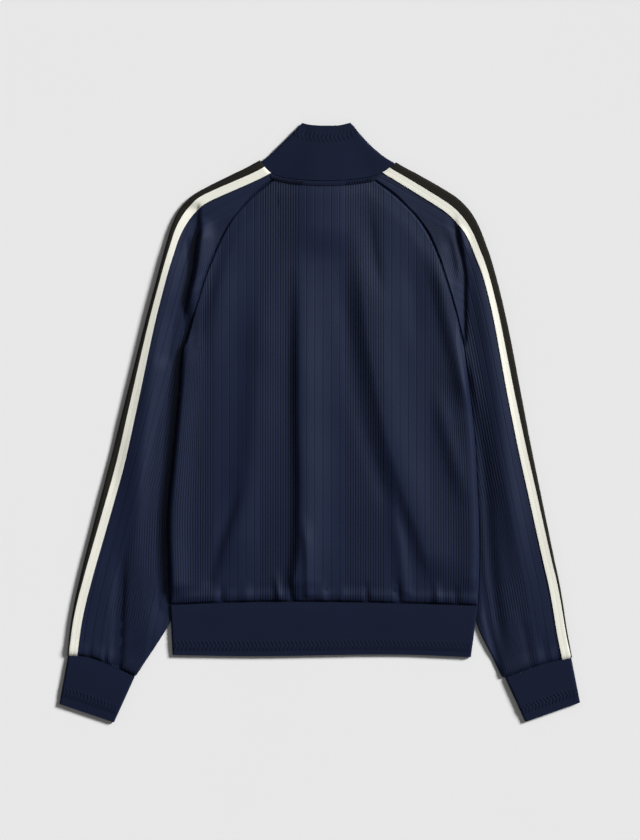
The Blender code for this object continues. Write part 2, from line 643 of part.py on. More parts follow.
def main():
    for piece in list(bpy.data.objects):
        bpy.data.objects.remove(piece)
    back_panel()
    for side in HAND:
        front_panel(side)
        sleeve_panel(side, True)
        sleeve_panel(side, False)
        tapes(side)
        cuff(side)
    collar()
    hem_band()
    neck_piping()
    zip_parts()


main()
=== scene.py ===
# %% [markdown]
# # A track jacket, laid flat with its back up
# The jacket is soft cloth: two thin layers that lie on each other, with folds, sunken ribs and
# stitching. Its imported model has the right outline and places, and this script gives it the looks.
# Sizes are in millimetres, and become metres where a mesh is made. X runs across the jacket, Y from
# the hem to the collar, and Z up from the surface it lies on.

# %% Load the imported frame
import math
from collections import namedtuple

import bpy
import numpy as np
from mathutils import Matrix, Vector


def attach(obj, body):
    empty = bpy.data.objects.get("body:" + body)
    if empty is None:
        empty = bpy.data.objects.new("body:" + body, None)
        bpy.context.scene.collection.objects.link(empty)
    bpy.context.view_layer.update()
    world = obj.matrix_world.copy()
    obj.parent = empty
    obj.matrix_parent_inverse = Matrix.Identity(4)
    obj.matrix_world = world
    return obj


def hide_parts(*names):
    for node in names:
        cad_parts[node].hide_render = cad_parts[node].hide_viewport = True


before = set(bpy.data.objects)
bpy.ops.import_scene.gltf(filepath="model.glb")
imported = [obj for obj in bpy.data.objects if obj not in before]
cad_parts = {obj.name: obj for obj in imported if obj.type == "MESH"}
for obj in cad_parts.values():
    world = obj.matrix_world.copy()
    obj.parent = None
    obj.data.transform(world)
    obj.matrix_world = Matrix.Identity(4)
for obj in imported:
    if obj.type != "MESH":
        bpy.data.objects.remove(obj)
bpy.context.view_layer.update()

MM = 0.001
HAND = {-1: "left", 1: "right"}

# %% [markdown]
# ## Curves through a few measured points
# A pattern maker measures an outline at a few places and draws a fair curve through them. The
# `spline` function does that: a cubic through the points, whose slope at each point comes from the
# points beside it. It never needs a handle to be placed, so a table of points is enough.

# %% Fair curves
Point = namedtuple("Point", "x y")


def smooth(t):
    """0 to 1 with soft ends."""
    t = np.clip(t, 0.0, 1.0)
    return t * t * (3 - 2 * t)


def spline(knots, values, at):
    """Smooth values at places along increasing knots."""
    knots, values, at = (np.asarray(a, float) for a in (knots, values, at))
    slopes = np.gradient(values, knots)
    i = np.clip(np.searchsorted(knots, at, side="right") - 1, 0, len(knots) - 2)
    span = knots[i + 1] - knots[i]
    t = np.clip((at - knots[i]) / span, 0, 1)
    rising = t * t * (3 - 2 * t)
    return (values[i] * (1 - rising) + values[i + 1] * rising
            + span * (slopes[i] * t * (1 - t) ** 2 - slopes[i + 1] * t * t * (1 - t)))


def lengths(line):
    """Distance along a line of plan points, at each of them."""
    return np.concatenate([[0], np.cumsum(np.hypot(*np.diff(line, axis=0).T))])


def fair(points, count=240):
    """A fair curve through plan points, as many close points."""
    points = np.array(points, float)
    far = lengths(points)
    at = np.linspace(0, far[-1], count)
    return np.column_stack([spline(far, points[:, k], at) for k in range(2)])


print("a fair curve through 3 points:", np.round(fair([(0, 0), (5, 2), (10, 0)], 5), 2).tolist())

# %% [markdown]
# ## The outline of the body
# The body is one back panel and two fronts, folded at the sides. Each row of the table is one level
# from the neck to the hem: the back's two edges, and the fronts' edges, which above the armpit end
# lower than the back's because the raglan seam slopes differently there.

# %% Body table
Body = namedtuple("Body", "y left right front_y front_left front_right")
BODY = [
    Body(333.0, -55.5, 67.0, 302.0, -68.0, 90.0),
    Body(319.5, -74.0, 85.0, 291.0, -80.0, 101.0),
    Body(301.5, -95.0, 107.5, 277.0, -95.0, 114.0),
    Body(265.5, -124.0, 140.0, 247.0, -121.0, 138.5),
    Body(243.5, -135.5, 152.5, 230.0, -132.0, 149.0),
    Body(219.5, -145.5, 162.5, 210.0, -142.0, 159.0),
    Body(192.5, -155.5, 171.5, 188.0, -152.0, 168.5),
    Body(165.5, -163.5, 179.5, 163.5, -162.0, 177.5),
    Body(138.5, -171.5, 187.0, 137.5, -171.0, 186.0),
    Body(108.5, -180.0, 193.5, 108.5, -180.0, 193.5),
    Body(79.0, -186.0, 198.0, 79.0, -186.0, 198.0),
    Body(44.0, -189.0, 202.5, 44.0, -189.0, 202.5),
    Body(3.5, -192.5, 207.5, 3.5, -192.5, 207.5),
    Body(-37.0, -196.5, 211.0, -37.0, -196.5, 211.0),
    Body(-77.5, -200.5, 213.0, -77.5, -200.5, 213.0),
    Body(-118.0, -204.0, 215.0, -118.0, -204.0, 215.0),
    Body(-212.5, -202.5, 215.5, -212.5, -202.5, 215.5),
    Body(-245.0, -202.0, 214.0, -245.0, -202.0, 214.0),
]
ARMPIT_ROW = 9
ARMPIT_Y = BODY[ARMPIT_ROW].y
NECK_BACK = [Point(-81.0, 353.5), Point(-73.5, 344.0), Point(-65.5, 337.0), Point(-46.5, 330.5),
             Point(-20.0, 327.2), Point(10.0, 326.0), Point(34.5, 327.0), Point(56.0, 329.6),
             Point(71.0, 332.4), Point(84.5, 337.2), Point(94.5, 343.5), Point(104.0, 350.5)]
NECK_FRONT = [Point(-81.0, 353.5), Point(-77.5, 330.0), Point(-68.0, 302.0), Point(-54.0, 272.0),
              Point(-33.0, 250.0), Point(-10.0, 241.0), Point(9.5, 239.0), Point(29.0, 241.0),
              Point(52.0, 250.0), Point(74.0, 271.0), Point(90.0, 302.0), Point(100.5, 330.0),
              Point(104.0, 350.5)]
HEM_TOP = [Point(-202.0, -246.5), Point(-107.5, -243.0), Point(135.5, -245.0), Point(214.0, -247.5)]
CENTRE = 9.5          # centre line of body and zip
COLLAR_MIDDLE = 370.0
GAP = 0.3             # between pieces at a seam
NECK_GAP = 0.4
print("body rows:", len(BODY), "widest", max(r.right - r.left for r in BODY), "mm")

# %% [markdown]
# ## How high the cloth stands
# Two layers of knit with a little air between them stand about 6 mm. The cloth rises over the zip's
# slider near the neck, and everywhere it keeps the long soft folds of a jacket that was worn and put
# down. Each fold is one row of a table: the line it follows, how wide it is on either side, how far
# it rises (or sinks, below zero), and how softly it fades at its two ends. A fold with one narrow
# side has a steep face, as real ones do. A second table holds the tucks, where cloth is pressed down.

# %% Height of the flat layers
LOFT = 6.2
RIB_LOFT = 6.0
NECK_RISE = 4.0
SLIDER_LIFT = 3.2
KNIT = 0.9            # wall of the knit


def neck_bump(x, y):
    """0 to 1 round the zip slider, which the front passes over and the back lies on."""
    across = 1 - smooth((np.abs(x - CENTRE) - 10) / 60)
    return across * smooth((y - 215) / 50) * smooth((385 - y) / 60)


def rumple(x, y):
    """Soft unevenness that no flat cloth is without."""
    return (0.28 * np.sin(x / 31 + 1.3 * np.sin(y / 83)) * np.sin(y / 67 + 0.7)
            + 0.16 * np.sin(x / 13.7 + y / 41 + 0.9) * np.sin(y / 29 - x / 57))


# %% Table of folds
Fold = namedtuple("Fold", "line left right rise fade_top fade_low")
FOLDS = [
    # back: the steep fold left of the middle, and the broad ones to its right
    Fold([(-26, 265), (-26, 150), (-26, 30), (-24, -120), (-27, -185), (-38, -238)],
         10, 28, 4.4, 0.40, 0.05),
    Fold([(-22, -120), (-17, -180), (-16, -238)], 5, 9, 1.7, 0.40, 0.05),
    Fold([(50, 262), (58, 200), (66, 120), (80, 40), (97, -37), (119, -105), (141, -165), (158, -225)],
         14, 34, 3.1, 0.25, 0.10),
    Fold([(28, 240), (34, 160), (44, 80), (55, 10), (75, -60), (99, -120), (121, -170)],
         13, 11, -0.9, 0.25, 0.20),
    Fold([(92, -60), (101, -120), (110, -180), (116, -236)], 10, 8, 1.5, 0.40, 0.05),
    Fold([(64, 312), (71, 240), (84, 160)], 14, 8, -1.2, 0.40, 0.40),
    Fold([(146, 250), (162, 200), (176, 130), (190, 70), (200, 10)], 11, 10, 3.0, 0.30, 0.20),
    Fold([(160, 60), (169, 0), (184, -60), (196, -120)], 12, 12, 1.8, 0.35, 0.35),
    Fold([(-70, 222), (-80, 80), (-90, -48), (-106, -130), (-128, -215)], 20, 26, 2.4, 0.30, 0.15),
    Fold([(-104, -62), (-120, -120), (-138, -176), (-152, -228)], 11, 8, -1.4, 0.40, 0.10),
    Fold([(124, 240), (128, 160), (132, 80)], 12, 16, -1.0, 0.40, 0.40),
    Fold([(-120, 236), (-138, 150), (-150, 60)], 12, 18, 1.2, 0.40, 0.40),
    # the body's sides bulge before they turn under
    Fold([(-171, 150), (-182, 60), (-191, -40), (-198, -150), (-196, -240)],
         18, 17, 4.3, 0.20, 0.06),
    Fold([(184, 92), (197, 30), (205, -60), (208, -160), (207, -240)],
         20, 8, 1.8, 0.25, 0.10),
    # small puckers above the hem seam
    Fold([(-131, -213), (-133, -246)], 4, 5, -1.7, 0.8, 0.05),
    Fold([(-98, -208), (-99, -246)], 8, 7, 1.1, 0.8, 0.05),
    Fold([(-60, -196), (-53, -246)], 5, 6, 2.0, 0.8, 0.05),
    Fold([(-41, -202), (-38, -246)], 4, 5, -1.8, 0.8, 0.05),
    Fold([(3, -206), (5, -246)], 8, 5, 1.2, 0.8, 0.05),
    Fold([(33, -212), (31, -246)], 7, 9, 1.0, 0.8, 0.05),
    Fold([(62, -212), (64, -246)], 4, 5, -1.5, 0.8, 0.05),
    Fold([(103, -204), (108, -246)], 5, 5, -1.7, 0.8, 0.05),
    Fold([(158, -208), (160, -246)], 6, 6, 1.7, 0.8, 0.05),
    Fold([(182, -214), (184, -246)], 5, 6, -1.2, 0.8, 0.05),
    # left sleeve
    Fold([(-158, 280), (-160, 240), (-164, 205), (-173, 165), (-184, 115)], 7, 13, 5.0, 0.20, 0.25),
    Fold([(-179, 256), (-177, 213), (-176, 192)], 3, 5, -2.4, 0.35, 0.45),
    Fold([(-188, 262), (-204, 160), (-224, 60), (-238, -40), (-248, -140), (-258, -230)],
         20, 12, 2.8, 0.20, 0.30),
    Fold([(-264, -170), (-269, -240), (-274, -335)], 9, 6, -2.8, 0.40, 0.05),
    Fold([(-270, -268), (-274, -345)], 4, 4, -1.8, 0.55, 0.05),
    Fold([(-289, -296), (-290, -345)], 4, 3, -1.4, 0.60, 0.05),
    Fold([(-310, -290), (-313, -340)], 5, 5, -0.9, 0.60, 0.05),
    Fold([(-268, 10), (-277, -60), (-283, -120)], 9, 13, -1.1, 0.40, 0.40),
    # right sleeve
    Fold([(190, 268), (195, 240), (199, 218)], 4, 6, 1.6, 0.30, 0.45),
    Fold([(172, 262), (180, 220), (185, 180)], 9, 6, -1.6, 0.30, 0.45),
    Fold([(210, 262), (222, 160), (238, 60), (252, -60), (266, -160), (284, -260)],
         15, 15, 2.4, 0.20, 0.30),
    Fold([(214, -170), (222, -240), (243, -345)], 6, 7, -2.2, 0.45, 0.03),
    Fold([(268, -240), (278, -290), (288, -345)], 6, 6, -0.6, 0.45, 0.05),
    Fold([(300, -276), (308, -345)], 5, 6, -0.8, 0.60, 0.05),
    Fold([(318, -292), (324, -340)], 5, 5, -0.5, 0.60, 0.05),
]
TUCKS = [  # here rise is the height that the cloth is pressed down to
    Fold([(-165, 300), (-165.5, 281), (-165, 257), (-169, 236), (-171.5, 212), (-180, 172), (-190, 112),
          (-195, 70)], 20, 3.4, 2.2, 0.06, 0.10),
    Fold([(-178, 180), (-184, 140), (-190, 100), (-196, 60), (-201, 10), (-206, -55), (-211, -110),
          (-214, -150), (-212.5, -200), (-210, -246), (-213, -290)], 21, 16, 2.0, 0.10, 0.10),
    Fold([(182, 285), (186, 245), (191, 225), (194.7, 206), (195.5, 165), (195.5, 98)],
         7, 3, 3.2, 0.15, 0.10),
    Fold([(199, 88), (211, 11), (220, -60), (226, -131), (231, -200), (240, -270), (251, -345)],
         9, 10, 2.6, 0.35, 0.20),
]


def fold_weight(fold, x, y):
    """1 on a fold's line, falling to 0 at its sides and ends."""
    line = np.array(fold.line, float)[::-1]
    middle = spline(line[:, 1], line[:, 0], y)
    along = (y - line[0, 1]) / (line[-1, 1] - line[0, 1])
    ends = smooth(along / fold.fade_low) * smooth((1 - along) / fold.fade_top)
    half = np.where(x < middle, fold.left, fold.right)
    return ends * np.exp(-((x - middle) / half) ** 2)


FOLD_DEPTH = 1.65     # all folds together, deeper or flatter
LEAST_HEIGHT = 2.8


def cloth_height(x, y, puff=0.0):
    """Outer height of the upper layer, away from seams and rolled edges."""
    z = LOFT + puff + NECK_RISE * neck_bump(x, y) + rumple(x, y)
    for fold in FOLDS:
        z = z + FOLD_DEPTH * fold.rise * fold_weight(fold, x, y)
    return LEAST_HEIGHT + np.logaddexp(0, (z - LEAST_HEIGHT) / 0.6) * 0.6


def tucked(x, y, z):
    for tuck in TUCKS:
        z = z + (tuck.rise - z) * fold_weight(tuck, x, y)
    return z


def rolled(distance, radius):
    """0 at a rolled edge, 1 past its radius, as a quarter circle."""
    t = np.clip(distance / radius, 0, 1)
    return np.sqrt(1 - (1 - t) ** 2)


print("folds:", len(FOLDS), "tucks:", len(TUCKS),
      "height at the steep fold:", round(float(cloth_height(np.array(-26.0), np.array(-50.0))), 2))

# %% [markdown]
# ## From a grid of points to a cloth wall
# Every panel is a grid of points on its outer face. The face itself needs many points, for ribs and
# folds, but the side that nobody sees doesn't. So the inner face uses only some of the rows and
# columns, moved in along the normals, and many-sided faces close the rim between fine and coarse.
# The wall is closed, and its unwrapped distances are kept as a UV map, so a weave can follow the cloth.

# %% Wall builder
def normals(grid):
    """Unit normals of a grid whose rows run down and whose columns run across."""
    normal = np.cross(np.gradient(grid, axis=0), np.gradient(grid, axis=1))
    return normal / np.maximum(np.linalg.norm(normal, axis=2, keepdims=True), 1e-9)


def some(count, step, ends=3):
    """Every so many of a count of rows, and each of the first and last few."""
    chosen = set(range(0, count, step)) | {count - 1}
    chosen |= set(range(min(ends, count))) | set(range(max(count - ends, 0), count))
    return sorted(chosen)


def grid_faces(index, flip=False):
    """Four-sided faces between the neighbours of a grid of point numbers."""
    corners = [index[:-1, :-1], index[1:, :-1], index[1:, 1:], index[:-1, 1:]]
    faces = np.stack(corners, axis=-1).reshape(-1, 4)
    return (faces[:, ::-1] if flip else faces).tolist()


def shell(name, outer, thickness, finish, across=None, row_step=4, col_step=6, uv=None, closed=False):
    """A closed wall of cloth on an outer grid, in millimetres."""
    rows, cols = outer.shape[:2]
    inward = normals(outer)
    if closed:
        step = np.roll(outer, -1, axis=1) - np.roll(outer, 1, axis=1)
        inward = np.cross(np.gradient(outer, axis=0), step)
        inward /= np.linalg.norm(inward, axis=2, keepdims=True)
    some_rows, some_cols = some(rows, row_step), some(cols, col_step)
    inner = (outer - inward * thickness)[np.ix_(some_rows, some_cols)]
    front = np.arange(rows * cols).reshape(rows, cols)
    back = rows * cols + np.arange(inner.shape[0] * inner.shape[1]).reshape(inner.shape[:2])
    pairs_c = list(zip(some_cols, some_cols[1:]))
    pairs_r = list(zip(some_rows, some_rows[1:]))
    if closed:
        front = np.hstack([front, front[:, :1]])
        back = np.hstack([back, back[:, :1]])
        pairs_c.append((some_cols[-1], cols))
    faces = grid_faces(front) + grid_faces(back, flip=True)
    for k, (a, b) in enumerate(pairs_c):
        faces.append(front[0, a:b + 1].tolist() + [back[0, k + 1], back[0, k]])
        faces.append([back[-1, k], back[-1, k + 1]] + front[-1, a:b + 1][::-1].tolist())
    for k, (a, b) in enumerate(pairs_r if not closed else []):
        faces.append([back[k, 0], back[k + 1, 0]] + front[a:b + 1, 0][::-1].tolist())
        faces.append(front[a:b + 1, -1].tolist() + [back[k + 1, -1], back[k, -1]])
    points = np.concatenate([outer.reshape(-1, 3), inner.reshape(-1, 3)]) * MM
    piece = mesh_piece(name, points, faces, finish)
    if uv is None:
        wide = np.linalg.norm(np.diff(outer, axis=1), axis=2)
        tall = np.linalg.norm(np.diff(outer, axis=0), axis=2)
        uv = np.dstack([np.hstack([np.zeros((rows, 1)), np.cumsum(wide, axis=1)]),
                        np.vstack([np.zeros((1, cols)), np.cumsum(tall, axis=0)])])
    coarse = np.ix_(some_rows, some_cols)
    set_uv(piece, np.concatenate([uv.reshape(-1, 2), uv[coarse].reshape(-1, 2)]) * MM)
    if across is not None:
        store(piece, "across", np.concatenate([across.ravel(), across[coarse].ravel()]))
        store(piece, "outside", np.repeat([1.0, 0.0], [rows * cols, inner.shape[0] * inner.shape[1]]))
    return piece


# %% Meshes, UV maps and attributes
def mesh_piece(name, points, faces, finish, sharp=62):
    mesh = bpy.data.meshes.new(name)
    mesh.from_pydata(np.asarray(points).tolist(), [], faces)
    mesh.validate()
    mesh.shade_smooth()
    mesh.set_sharp_from_angle(angle=math.radians(sharp))
    mesh.materials.append(finish)
    piece = bpy.data.objects.new(name, mesh)
    bpy.context.scene.collection.objects.link(piece)
    return piece


def set_uv(piece, per_point):
    layer = piece.data.uv_layers.new(name="cloth")
    corner = np.zeros(len(piece.data.loops), np.int32)
    piece.data.loops.foreach_get("vertex_index", corner)
    layer.data.foreach_set("uv", np.ascontiguousarray(per_point[corner], np.float32).ravel())


def store(piece, name, values):
    attribute = piece.data.attributes.new(name, "FLOAT", "POINT")
    attribute.data.foreach_set("value", np.ascontiguousarray(values, np.float32))


# %% [markdown]
# ## Finishes
# A cloth's colour alone looks like paper. Three things make it cloth: a fine weave that breaks up
# the light, a sheen at grazing angles from the fibres that stand up, and slow changes of tone. Each
# finish here is built from those, at the real size of the yarn, and the weave follows the UV map.

# %% Node helpers
def finish(name):
    material = bpy.data.materials.new(name)
    material.use_nodes = True
    return material, material.node_tree, material.node_tree.nodes["Principled BSDF"]


def node(tree, kind, inputs=None, **settings):
    made = tree.nodes.new(kind)
    for key, value in settings.items():
        setattr(made, key, value)
    for key, value in (inputs or {}).items():
        if isinstance(value, bpy.types.NodeSocket):
            tree.links.new(value, made.inputs[key])
        else:
            made.inputs[key].default_value = value
    return made


def maths(tree, operation, *values):
    made = tree.nodes.new("ShaderNodeMath")
    made.operation = operation
    for k, value in enumerate(values):
        if isinstance(value, bpy.types.NodeSocket):
            tree.links.new(value, made.inputs[k])
        else:
            made.inputs[k].default_value = value
    return made.outputs[0]


def mixed(tree, amount, first, second):
    """Colour mix of two colours by an amount."""
    made = tree.nodes.new("ShaderNodeMix")
    made.data_type = "RGBA"
    tree.links.new(amount, made.inputs["Factor"])
    for key, value in (("A", first), ("B", second)):
        socket = [s for s in made.inputs if s.name == key and s.type == "RGBA"][0]
        if isinstance(value, bpy.types.NodeSocket):
            tree.links.new(value, socket)
        else:
            socket.default_value = (*value, 1)
    return [s for s in made.outputs if s.type == "RGBA"][0]


# %% Knitted cloth finish
def knit_finish(name, dark, light, wale=0.7, course=0.6, strength=0.35, rough=0.8, shine=0.08,
                sheen=0.02, tint=(0.45, 0.5, 0.8), groove=0.0, twill=0.0, depth=0.12):
    """Knit or weave of given yarn spacings, in millimetres. twill leans its lines; groove paints shade into
    the sunken rib lines.
    """
    material, tree, shader = finish(name)
    uv = node(tree, "ShaderNodeUVMap", uv_map="cloth").outputs["UV"]
    part = node(tree, "ShaderNodeSeparateXYZ", {"Vector": uv})
    u, v = part.outputs["X"], part.outputs["Y"]
    lean = maths(tree, "MULTIPLY_ADD", v, twill, u)
    wales = maths(tree, "SINE", maths(tree, "MULTIPLY", lean, 2 * math.pi / (wale * MM)))
    courses = maths(tree, "SINE", maths(tree, "MULTIPLY", v, 2 * math.pi / (course * MM)))
    place = node(tree, "ShaderNodeTexCoord").outputs["Object"]
    fine = node(tree, "ShaderNodeTexNoise", {"Vector": place, "Scale": 900.0, "Detail": 2.0})
    broad = node(tree, "ShaderNodeTexNoise", {"Vector": place, "Scale": 14.0, "Detail": 3.0})
    yarn = maths(tree, "MULTIPLY_ADD", wales, 0.35, maths(tree, "MULTIPLY", courses, 0.2))
    yarn = maths(tree, "ADD", yarn, maths(tree, "MULTIPLY", fine.outputs["Fac"], 1.1))
    bump = node(tree, "ShaderNodeBump",
                {"Height": yarn, "Strength": strength, "Distance": depth * MM})
    tree.links.new(bump.outputs["Normal"], shader.inputs["Normal"])
    tone = maths(tree, "MULTIPLY_ADD", broad.outputs["Fac"], 0.55,
                 maths(tree, "MULTIPLY", fine.outputs["Fac"], 0.5))
    colour = mixed(tree, tone, dark, light)
    # painted shade: the colour darkens towards a third of the dark navy where the ribs sink in
    if groove:
        sunk = node(tree, "ShaderNodeAttribute", attribute_name="groove").outputs["Fac"]
        sunk = maths(tree, "MULTIPLY", sunk, groove)
        colour = mixed(tree, sunk, colour, tuple(0.35 * c for c in dark))
    tree.links.new(colour, shader.inputs["Base Color"])
    shader.inputs["Roughness"].default_value = rough
    shader.inputs["Sheen Weight"].default_value = sheen
    shader.inputs["Sheen Roughness"].default_value = 0.45
    shader.inputs["Sheen Tint"].default_value = (*tint, 1)
    shader.inputs["Specular IOR Level"].default_value = shine
    shader.inputs["Specular Tint"].default_value = (*tint, 1)
    return material


# groove=0.85 is painted shade in the sunken rib lines
navy_knit = knit_finish("navy_knit", (0.0068, 0.0101, 0.0278), (0.0104, 0.0153, 0.0394),
                        rough=0.5, shine=0.095, tint=(0.68, 0.77, 1.0), groove=0.85)
navy_rib = knit_finish("navy_rib", (0.0052, 0.0079, 0.0215), (0.0089, 0.0130, 0.0330),
                       wale=1.1, course=0.9, shine=0.05, tint=(0.8, 0.85, 1.0), strength=0.5)
cream_tape = knit_finish("cream_tape", (0.72, 0.71, 0.62), (0.82, 0.81, 0.73), wale=1.0, course=0.8,
                         sheen=0.1, tint=(1, 1, 0.95), strength=0.4)
black_tape = knit_finish("black_tape", (0.0082, 0.0077, 0.0066), (0.0178, 0.0168, 0.0145), wale=1.3,
                         course=0.7, twill=1.0, tint=(0.8, 0.78, 0.7), strength=0.6)
zip_cloth = knit_finish("zip_cloth", (0.006, 0.009, 0.026), (0.010, 0.014, 0.038), wale=0.9,
                        course=0.5, twill=0.6, strength=0.6)
print("cloth finishes:", [m.name for m in bpy.data.materials if m.node_tree and m.users == 0])

# %% Thread, nylon and metal
def plain_finish(name, dark, light, rough, metallic=0.0, scale=400.0, shine=0.1):
    material, tree, shader = finish(name)
    place = node(tree, "ShaderNodeTexCoord").outputs["Object"]
    spots = node(tree, "ShaderNodeTexNoise", {"Vector": place, "Scale": scale, "Detail": 4.0})
    tree.links.new(mixed(tree, spots.outputs["Fac"], dark, light), shader.inputs["Base Color"])
    worn = maths(tree, "MULTIPLY_ADD", spots.outputs["Fac"], 0.25, rough - 0.12)
    tree.links.new(worn, shader.inputs["Roughness"])
    bump = node(tree, "ShaderNodeBump",
                {"Height": spots.outputs["Fac"], "Strength": 0.2, "Distance": 0.05 * MM})
    tree.links.new(bump.outputs["Normal"], shader.inputs["Normal"])
    shader.inputs["Metallic"].default_value = metallic
    shader.inputs["Specular IOR Level"].default_value = shine
    return material


# The thread is near black, darker than the rib it is sewn into: partly its own navy, partly painted shade of
# the lines the stitches sink into the cloth.
navy_thread_painted_shade = plain_finish("navy_thread_painted_shade", (0.0022, 0.0032, 0.0095), (0.0040, 0.0058, 0.0160), 0.8)
cream_thread = plain_finish("cream_thread", (0.66, 0.65, 0.56), (0.80, 0.79, 0.70), 0.55)
zip_nylon = plain_finish("zip_nylon", (0.008, 0.011, 0.030), (0.013, 0.016, 0.042), 0.35, shine=0.5)
zip_metal = plain_finish("zip_metal", (0.42, 0.42, 0.43), (0.62, 0.62, 0.63), 0.34, 1.0, 900.0, 0.5)

# %% [markdown]
# ## Sunken ribs
# The knit has narrow sunken lines that run down the body, close together in some stripes and far
# apart in others, and the pattern repeats across the cloth. Ribs that follow a rule suit Geometry
# Nodes: the tree reads each point's distance across the cloth, works out how near the next line is,
# and sinks the point along its normal. The grid has columns where the lines fall, so they stay crisp.

# %% The rule of the ribs
Ribs = namedtuple("Ribs", "repeat dense_width dense_pitch open_pitch half_width depth")
RIBS = Ribs(repeat=115.0, dense_width=51.0, dense_pitch=3.4, open_pitch=11.2,
            half_width=0.75, depth=0.36)


def rib_lines(first, last, start):
    """Places of the sunken lines between two distances across the cloth."""
    dense = np.arange(0, RIBS.dense_width + 0.1, RIBS.dense_pitch)
    spread = RIBS.dense_width + RIBS.open_pitch * np.arange(1, 6)
    one = np.concatenate([dense, spread])
    repeats = range(math.floor((first - start) / RIBS.repeat), math.ceil((last - start) / RIBS.repeat) + 1)
    lines = np.concatenate([start + RIBS.repeat * k + one for k in repeats])
    return lines[(lines > first) & (lines < last)]


def rib_columns(first, last, start, land=3.6):
    """Grid columns: the feet and shoulders of each line, one column past each shoulder to keep
    the land between lines flat, and points in between."""
    lines = rib_lines(first, last, start)
    near = np.concatenate([lines + d for d in (-1.1, -0.75, -0.3, 0.3, 0.75, 1.1)])
    columns = np.unique(np.concatenate([[first, last], near[(near > first) & (near < last)]]))
    filled = [columns[:1]]
    for a, b in zip(columns, columns[1:]):
        filled.append(np.linspace(a, b, max(1, math.ceil((b - a) / land)) + 1)[1:])
    columns = np.concatenate(filled)
    keep = np.concatenate([[True], np.diff(columns) > 0.2])
    keep[-1] = True
    return columns[keep]


print("lines across the back:", len(rib_lines(-204, 215, -195.3)),
      "columns:", len(rib_columns(-204, 215, -195.3)))

# %% The tree that sinks them
def socket(tree, name, kind="NodeSocketFloat", way="INPUT"):
    return tree.interface.new_socket(name=name, in_out=way, socket_type=kind)


def rib_tree():
    tree = bpy.data.node_groups.new("sunken_ribs", "GeometryNodeTree")
    socket(tree, "Geometry", "NodeSocketGeometry")
    for name in ("Start", "Repeat", "Dense Width", "Dense Pitch", "Open Pitch", "Half Width", "Depth",
                 "Open Depth"):
        socket(tree, name)
    socket(tree, "Material", "NodeSocketMaterial")
    socket(tree, "Geometry", "NodeSocketGeometry", "OUTPUT")
    given = tree.nodes.new("NodeGroupInput").outputs
    across = node(tree, "GeometryNodeInputNamedAttribute", {"Name": "across"}, data_type="FLOAT")
    outside = node(tree, "GeometryNodeInputNamedAttribute", {"Name": "outside"}, data_type="FLOAT")
    place = maths(tree, "SUBTRACT", across.outputs["Attribute"], given["Start"])
    place = maths(tree, "FLOORED_MODULO", place, given["Repeat"])

    def to_line(value, pitch):
        half = maths(tree, "MULTIPLY", pitch, 0.5)
        wrapped = maths(tree, "FLOORED_MODULO", maths(tree, "ADD", value, half), pitch)
        return maths(tree, "ABSOLUTE", maths(tree, "SUBTRACT", wrapped, half))

    close = to_line(place, given["Dense Pitch"])
    wide = to_line(maths(tree, "SUBTRACT", place, given["Dense Width"]), given["Open Pitch"])
    half = maths(tree, "MULTIPLY", given["Dense Pitch"], 0.5)
    past = maths(tree, "GREATER_THAN", place, maths(tree, "ADD", given["Dense Width"], half))
    nearest = maths(tree, "ADD", maths(tree, "MULTIPLY", past, wide),
                    maths(tree, "MULTIPLY", maths(tree, "SUBTRACT", 1.0, past), close))
    nearest = maths(tree, "MINIMUM", nearest, maths(tree, "SUBTRACT", given["Repeat"], place))
    sunk = node(tree, "ShaderNodeMapRange",
                {"Value": nearest, "From Min": given["Half Width"], "From Max": 0.3,
                 "To Min": 0.0, "To Max": 1.0}, interpolation_type="SMOOTHSTEP").outputs["Result"]
    sunk = maths(tree, "MULTIPLY", sunk, outside.outputs["Attribute"])
    faint = maths(tree, "MULTIPLY_ADD", past, given["Open Depth"], maths(tree, "SUBTRACT", 1.0, past))
    sunk = maths(tree, "MULTIPLY", sunk, faint)
    kept = node(tree, "GeometryNodeStoreNamedAttribute",
                {"Geometry": given["Geometry"], "Name": "groove", "Value": sunk},
                data_type="FLOAT", domain="POINT")
    down = maths(tree, "MULTIPLY", sunk, maths(tree, "MULTIPLY", given["Depth"], -MM))
    move = node(tree, "ShaderNodeVectorMath",
                {0: tree.nodes.new("GeometryNodeInputNormal").outputs["Normal"], "Scale": down},
                operation="SCALE")
    set_place = node(tree, "GeometryNodeSetPosition",
                     {"Geometry": kept.outputs["Geometry"], "Offset": move.outputs["Vector"]})
    real = node(tree, "GeometryNodeRealizeInstances", {"Geometry": set_place.outputs["Geometry"]})
    dressed = node(tree, "GeometryNodeSetMaterial",
                   {"Geometry": real.outputs["Geometry"], "Material": given["Material"]})
    end = tree.nodes.new("NodeGroupOutput")
    tree.links.new(dressed.outputs["Geometry"], end.inputs["Geometry"])
    return tree


def grown(piece, tree, values):
    """Runs a tree on a piece with named values, and keeps the result as the piece's plain mesh."""
    modifier = piece.modifiers.new(tree.name, "NODES")
    modifier.node_group = tree
    for item in tree.interface.items_tree:
        if item.in_out == "INPUT" and item.name in values:
            modifier[item.identifier] = values[item.name]
    depsgraph = bpy.context.evaluated_depsgraph_get()
    mesh = bpy.data.meshes.new_from_object(piece.evaluated_get(depsgraph),
                                           preserve_all_data_layers=True, depsgraph=depsgraph)
    piece.modifiers.remove(modifier)
    old = piece.data
    piece.data = mesh
    bpy.data.meshes.remove(old)
    mesh.name = piece.name
    return piece


OPEN_DEPTH = 0.65     # the lines of the open bands are this much as deep
sunken_ribs = rib_tree()


def ribbed(piece, start):
    """Sink the ribs into a piece of knit, counted from a start across it."""
    return grown(piece, sunken_ribs, {
        "Start": start, "Repeat": RIBS.repeat, "Dense Width": RIBS.dense_width,
        "Dense Pitch": RIBS.dense_pitch, "Open Pitch": RIBS.open_pitch, "Half Width": RIBS.half_width,
        "Depth": RIBS.depth, "Open Depth": OPEN_DEPTH, "Material": navy_knit})


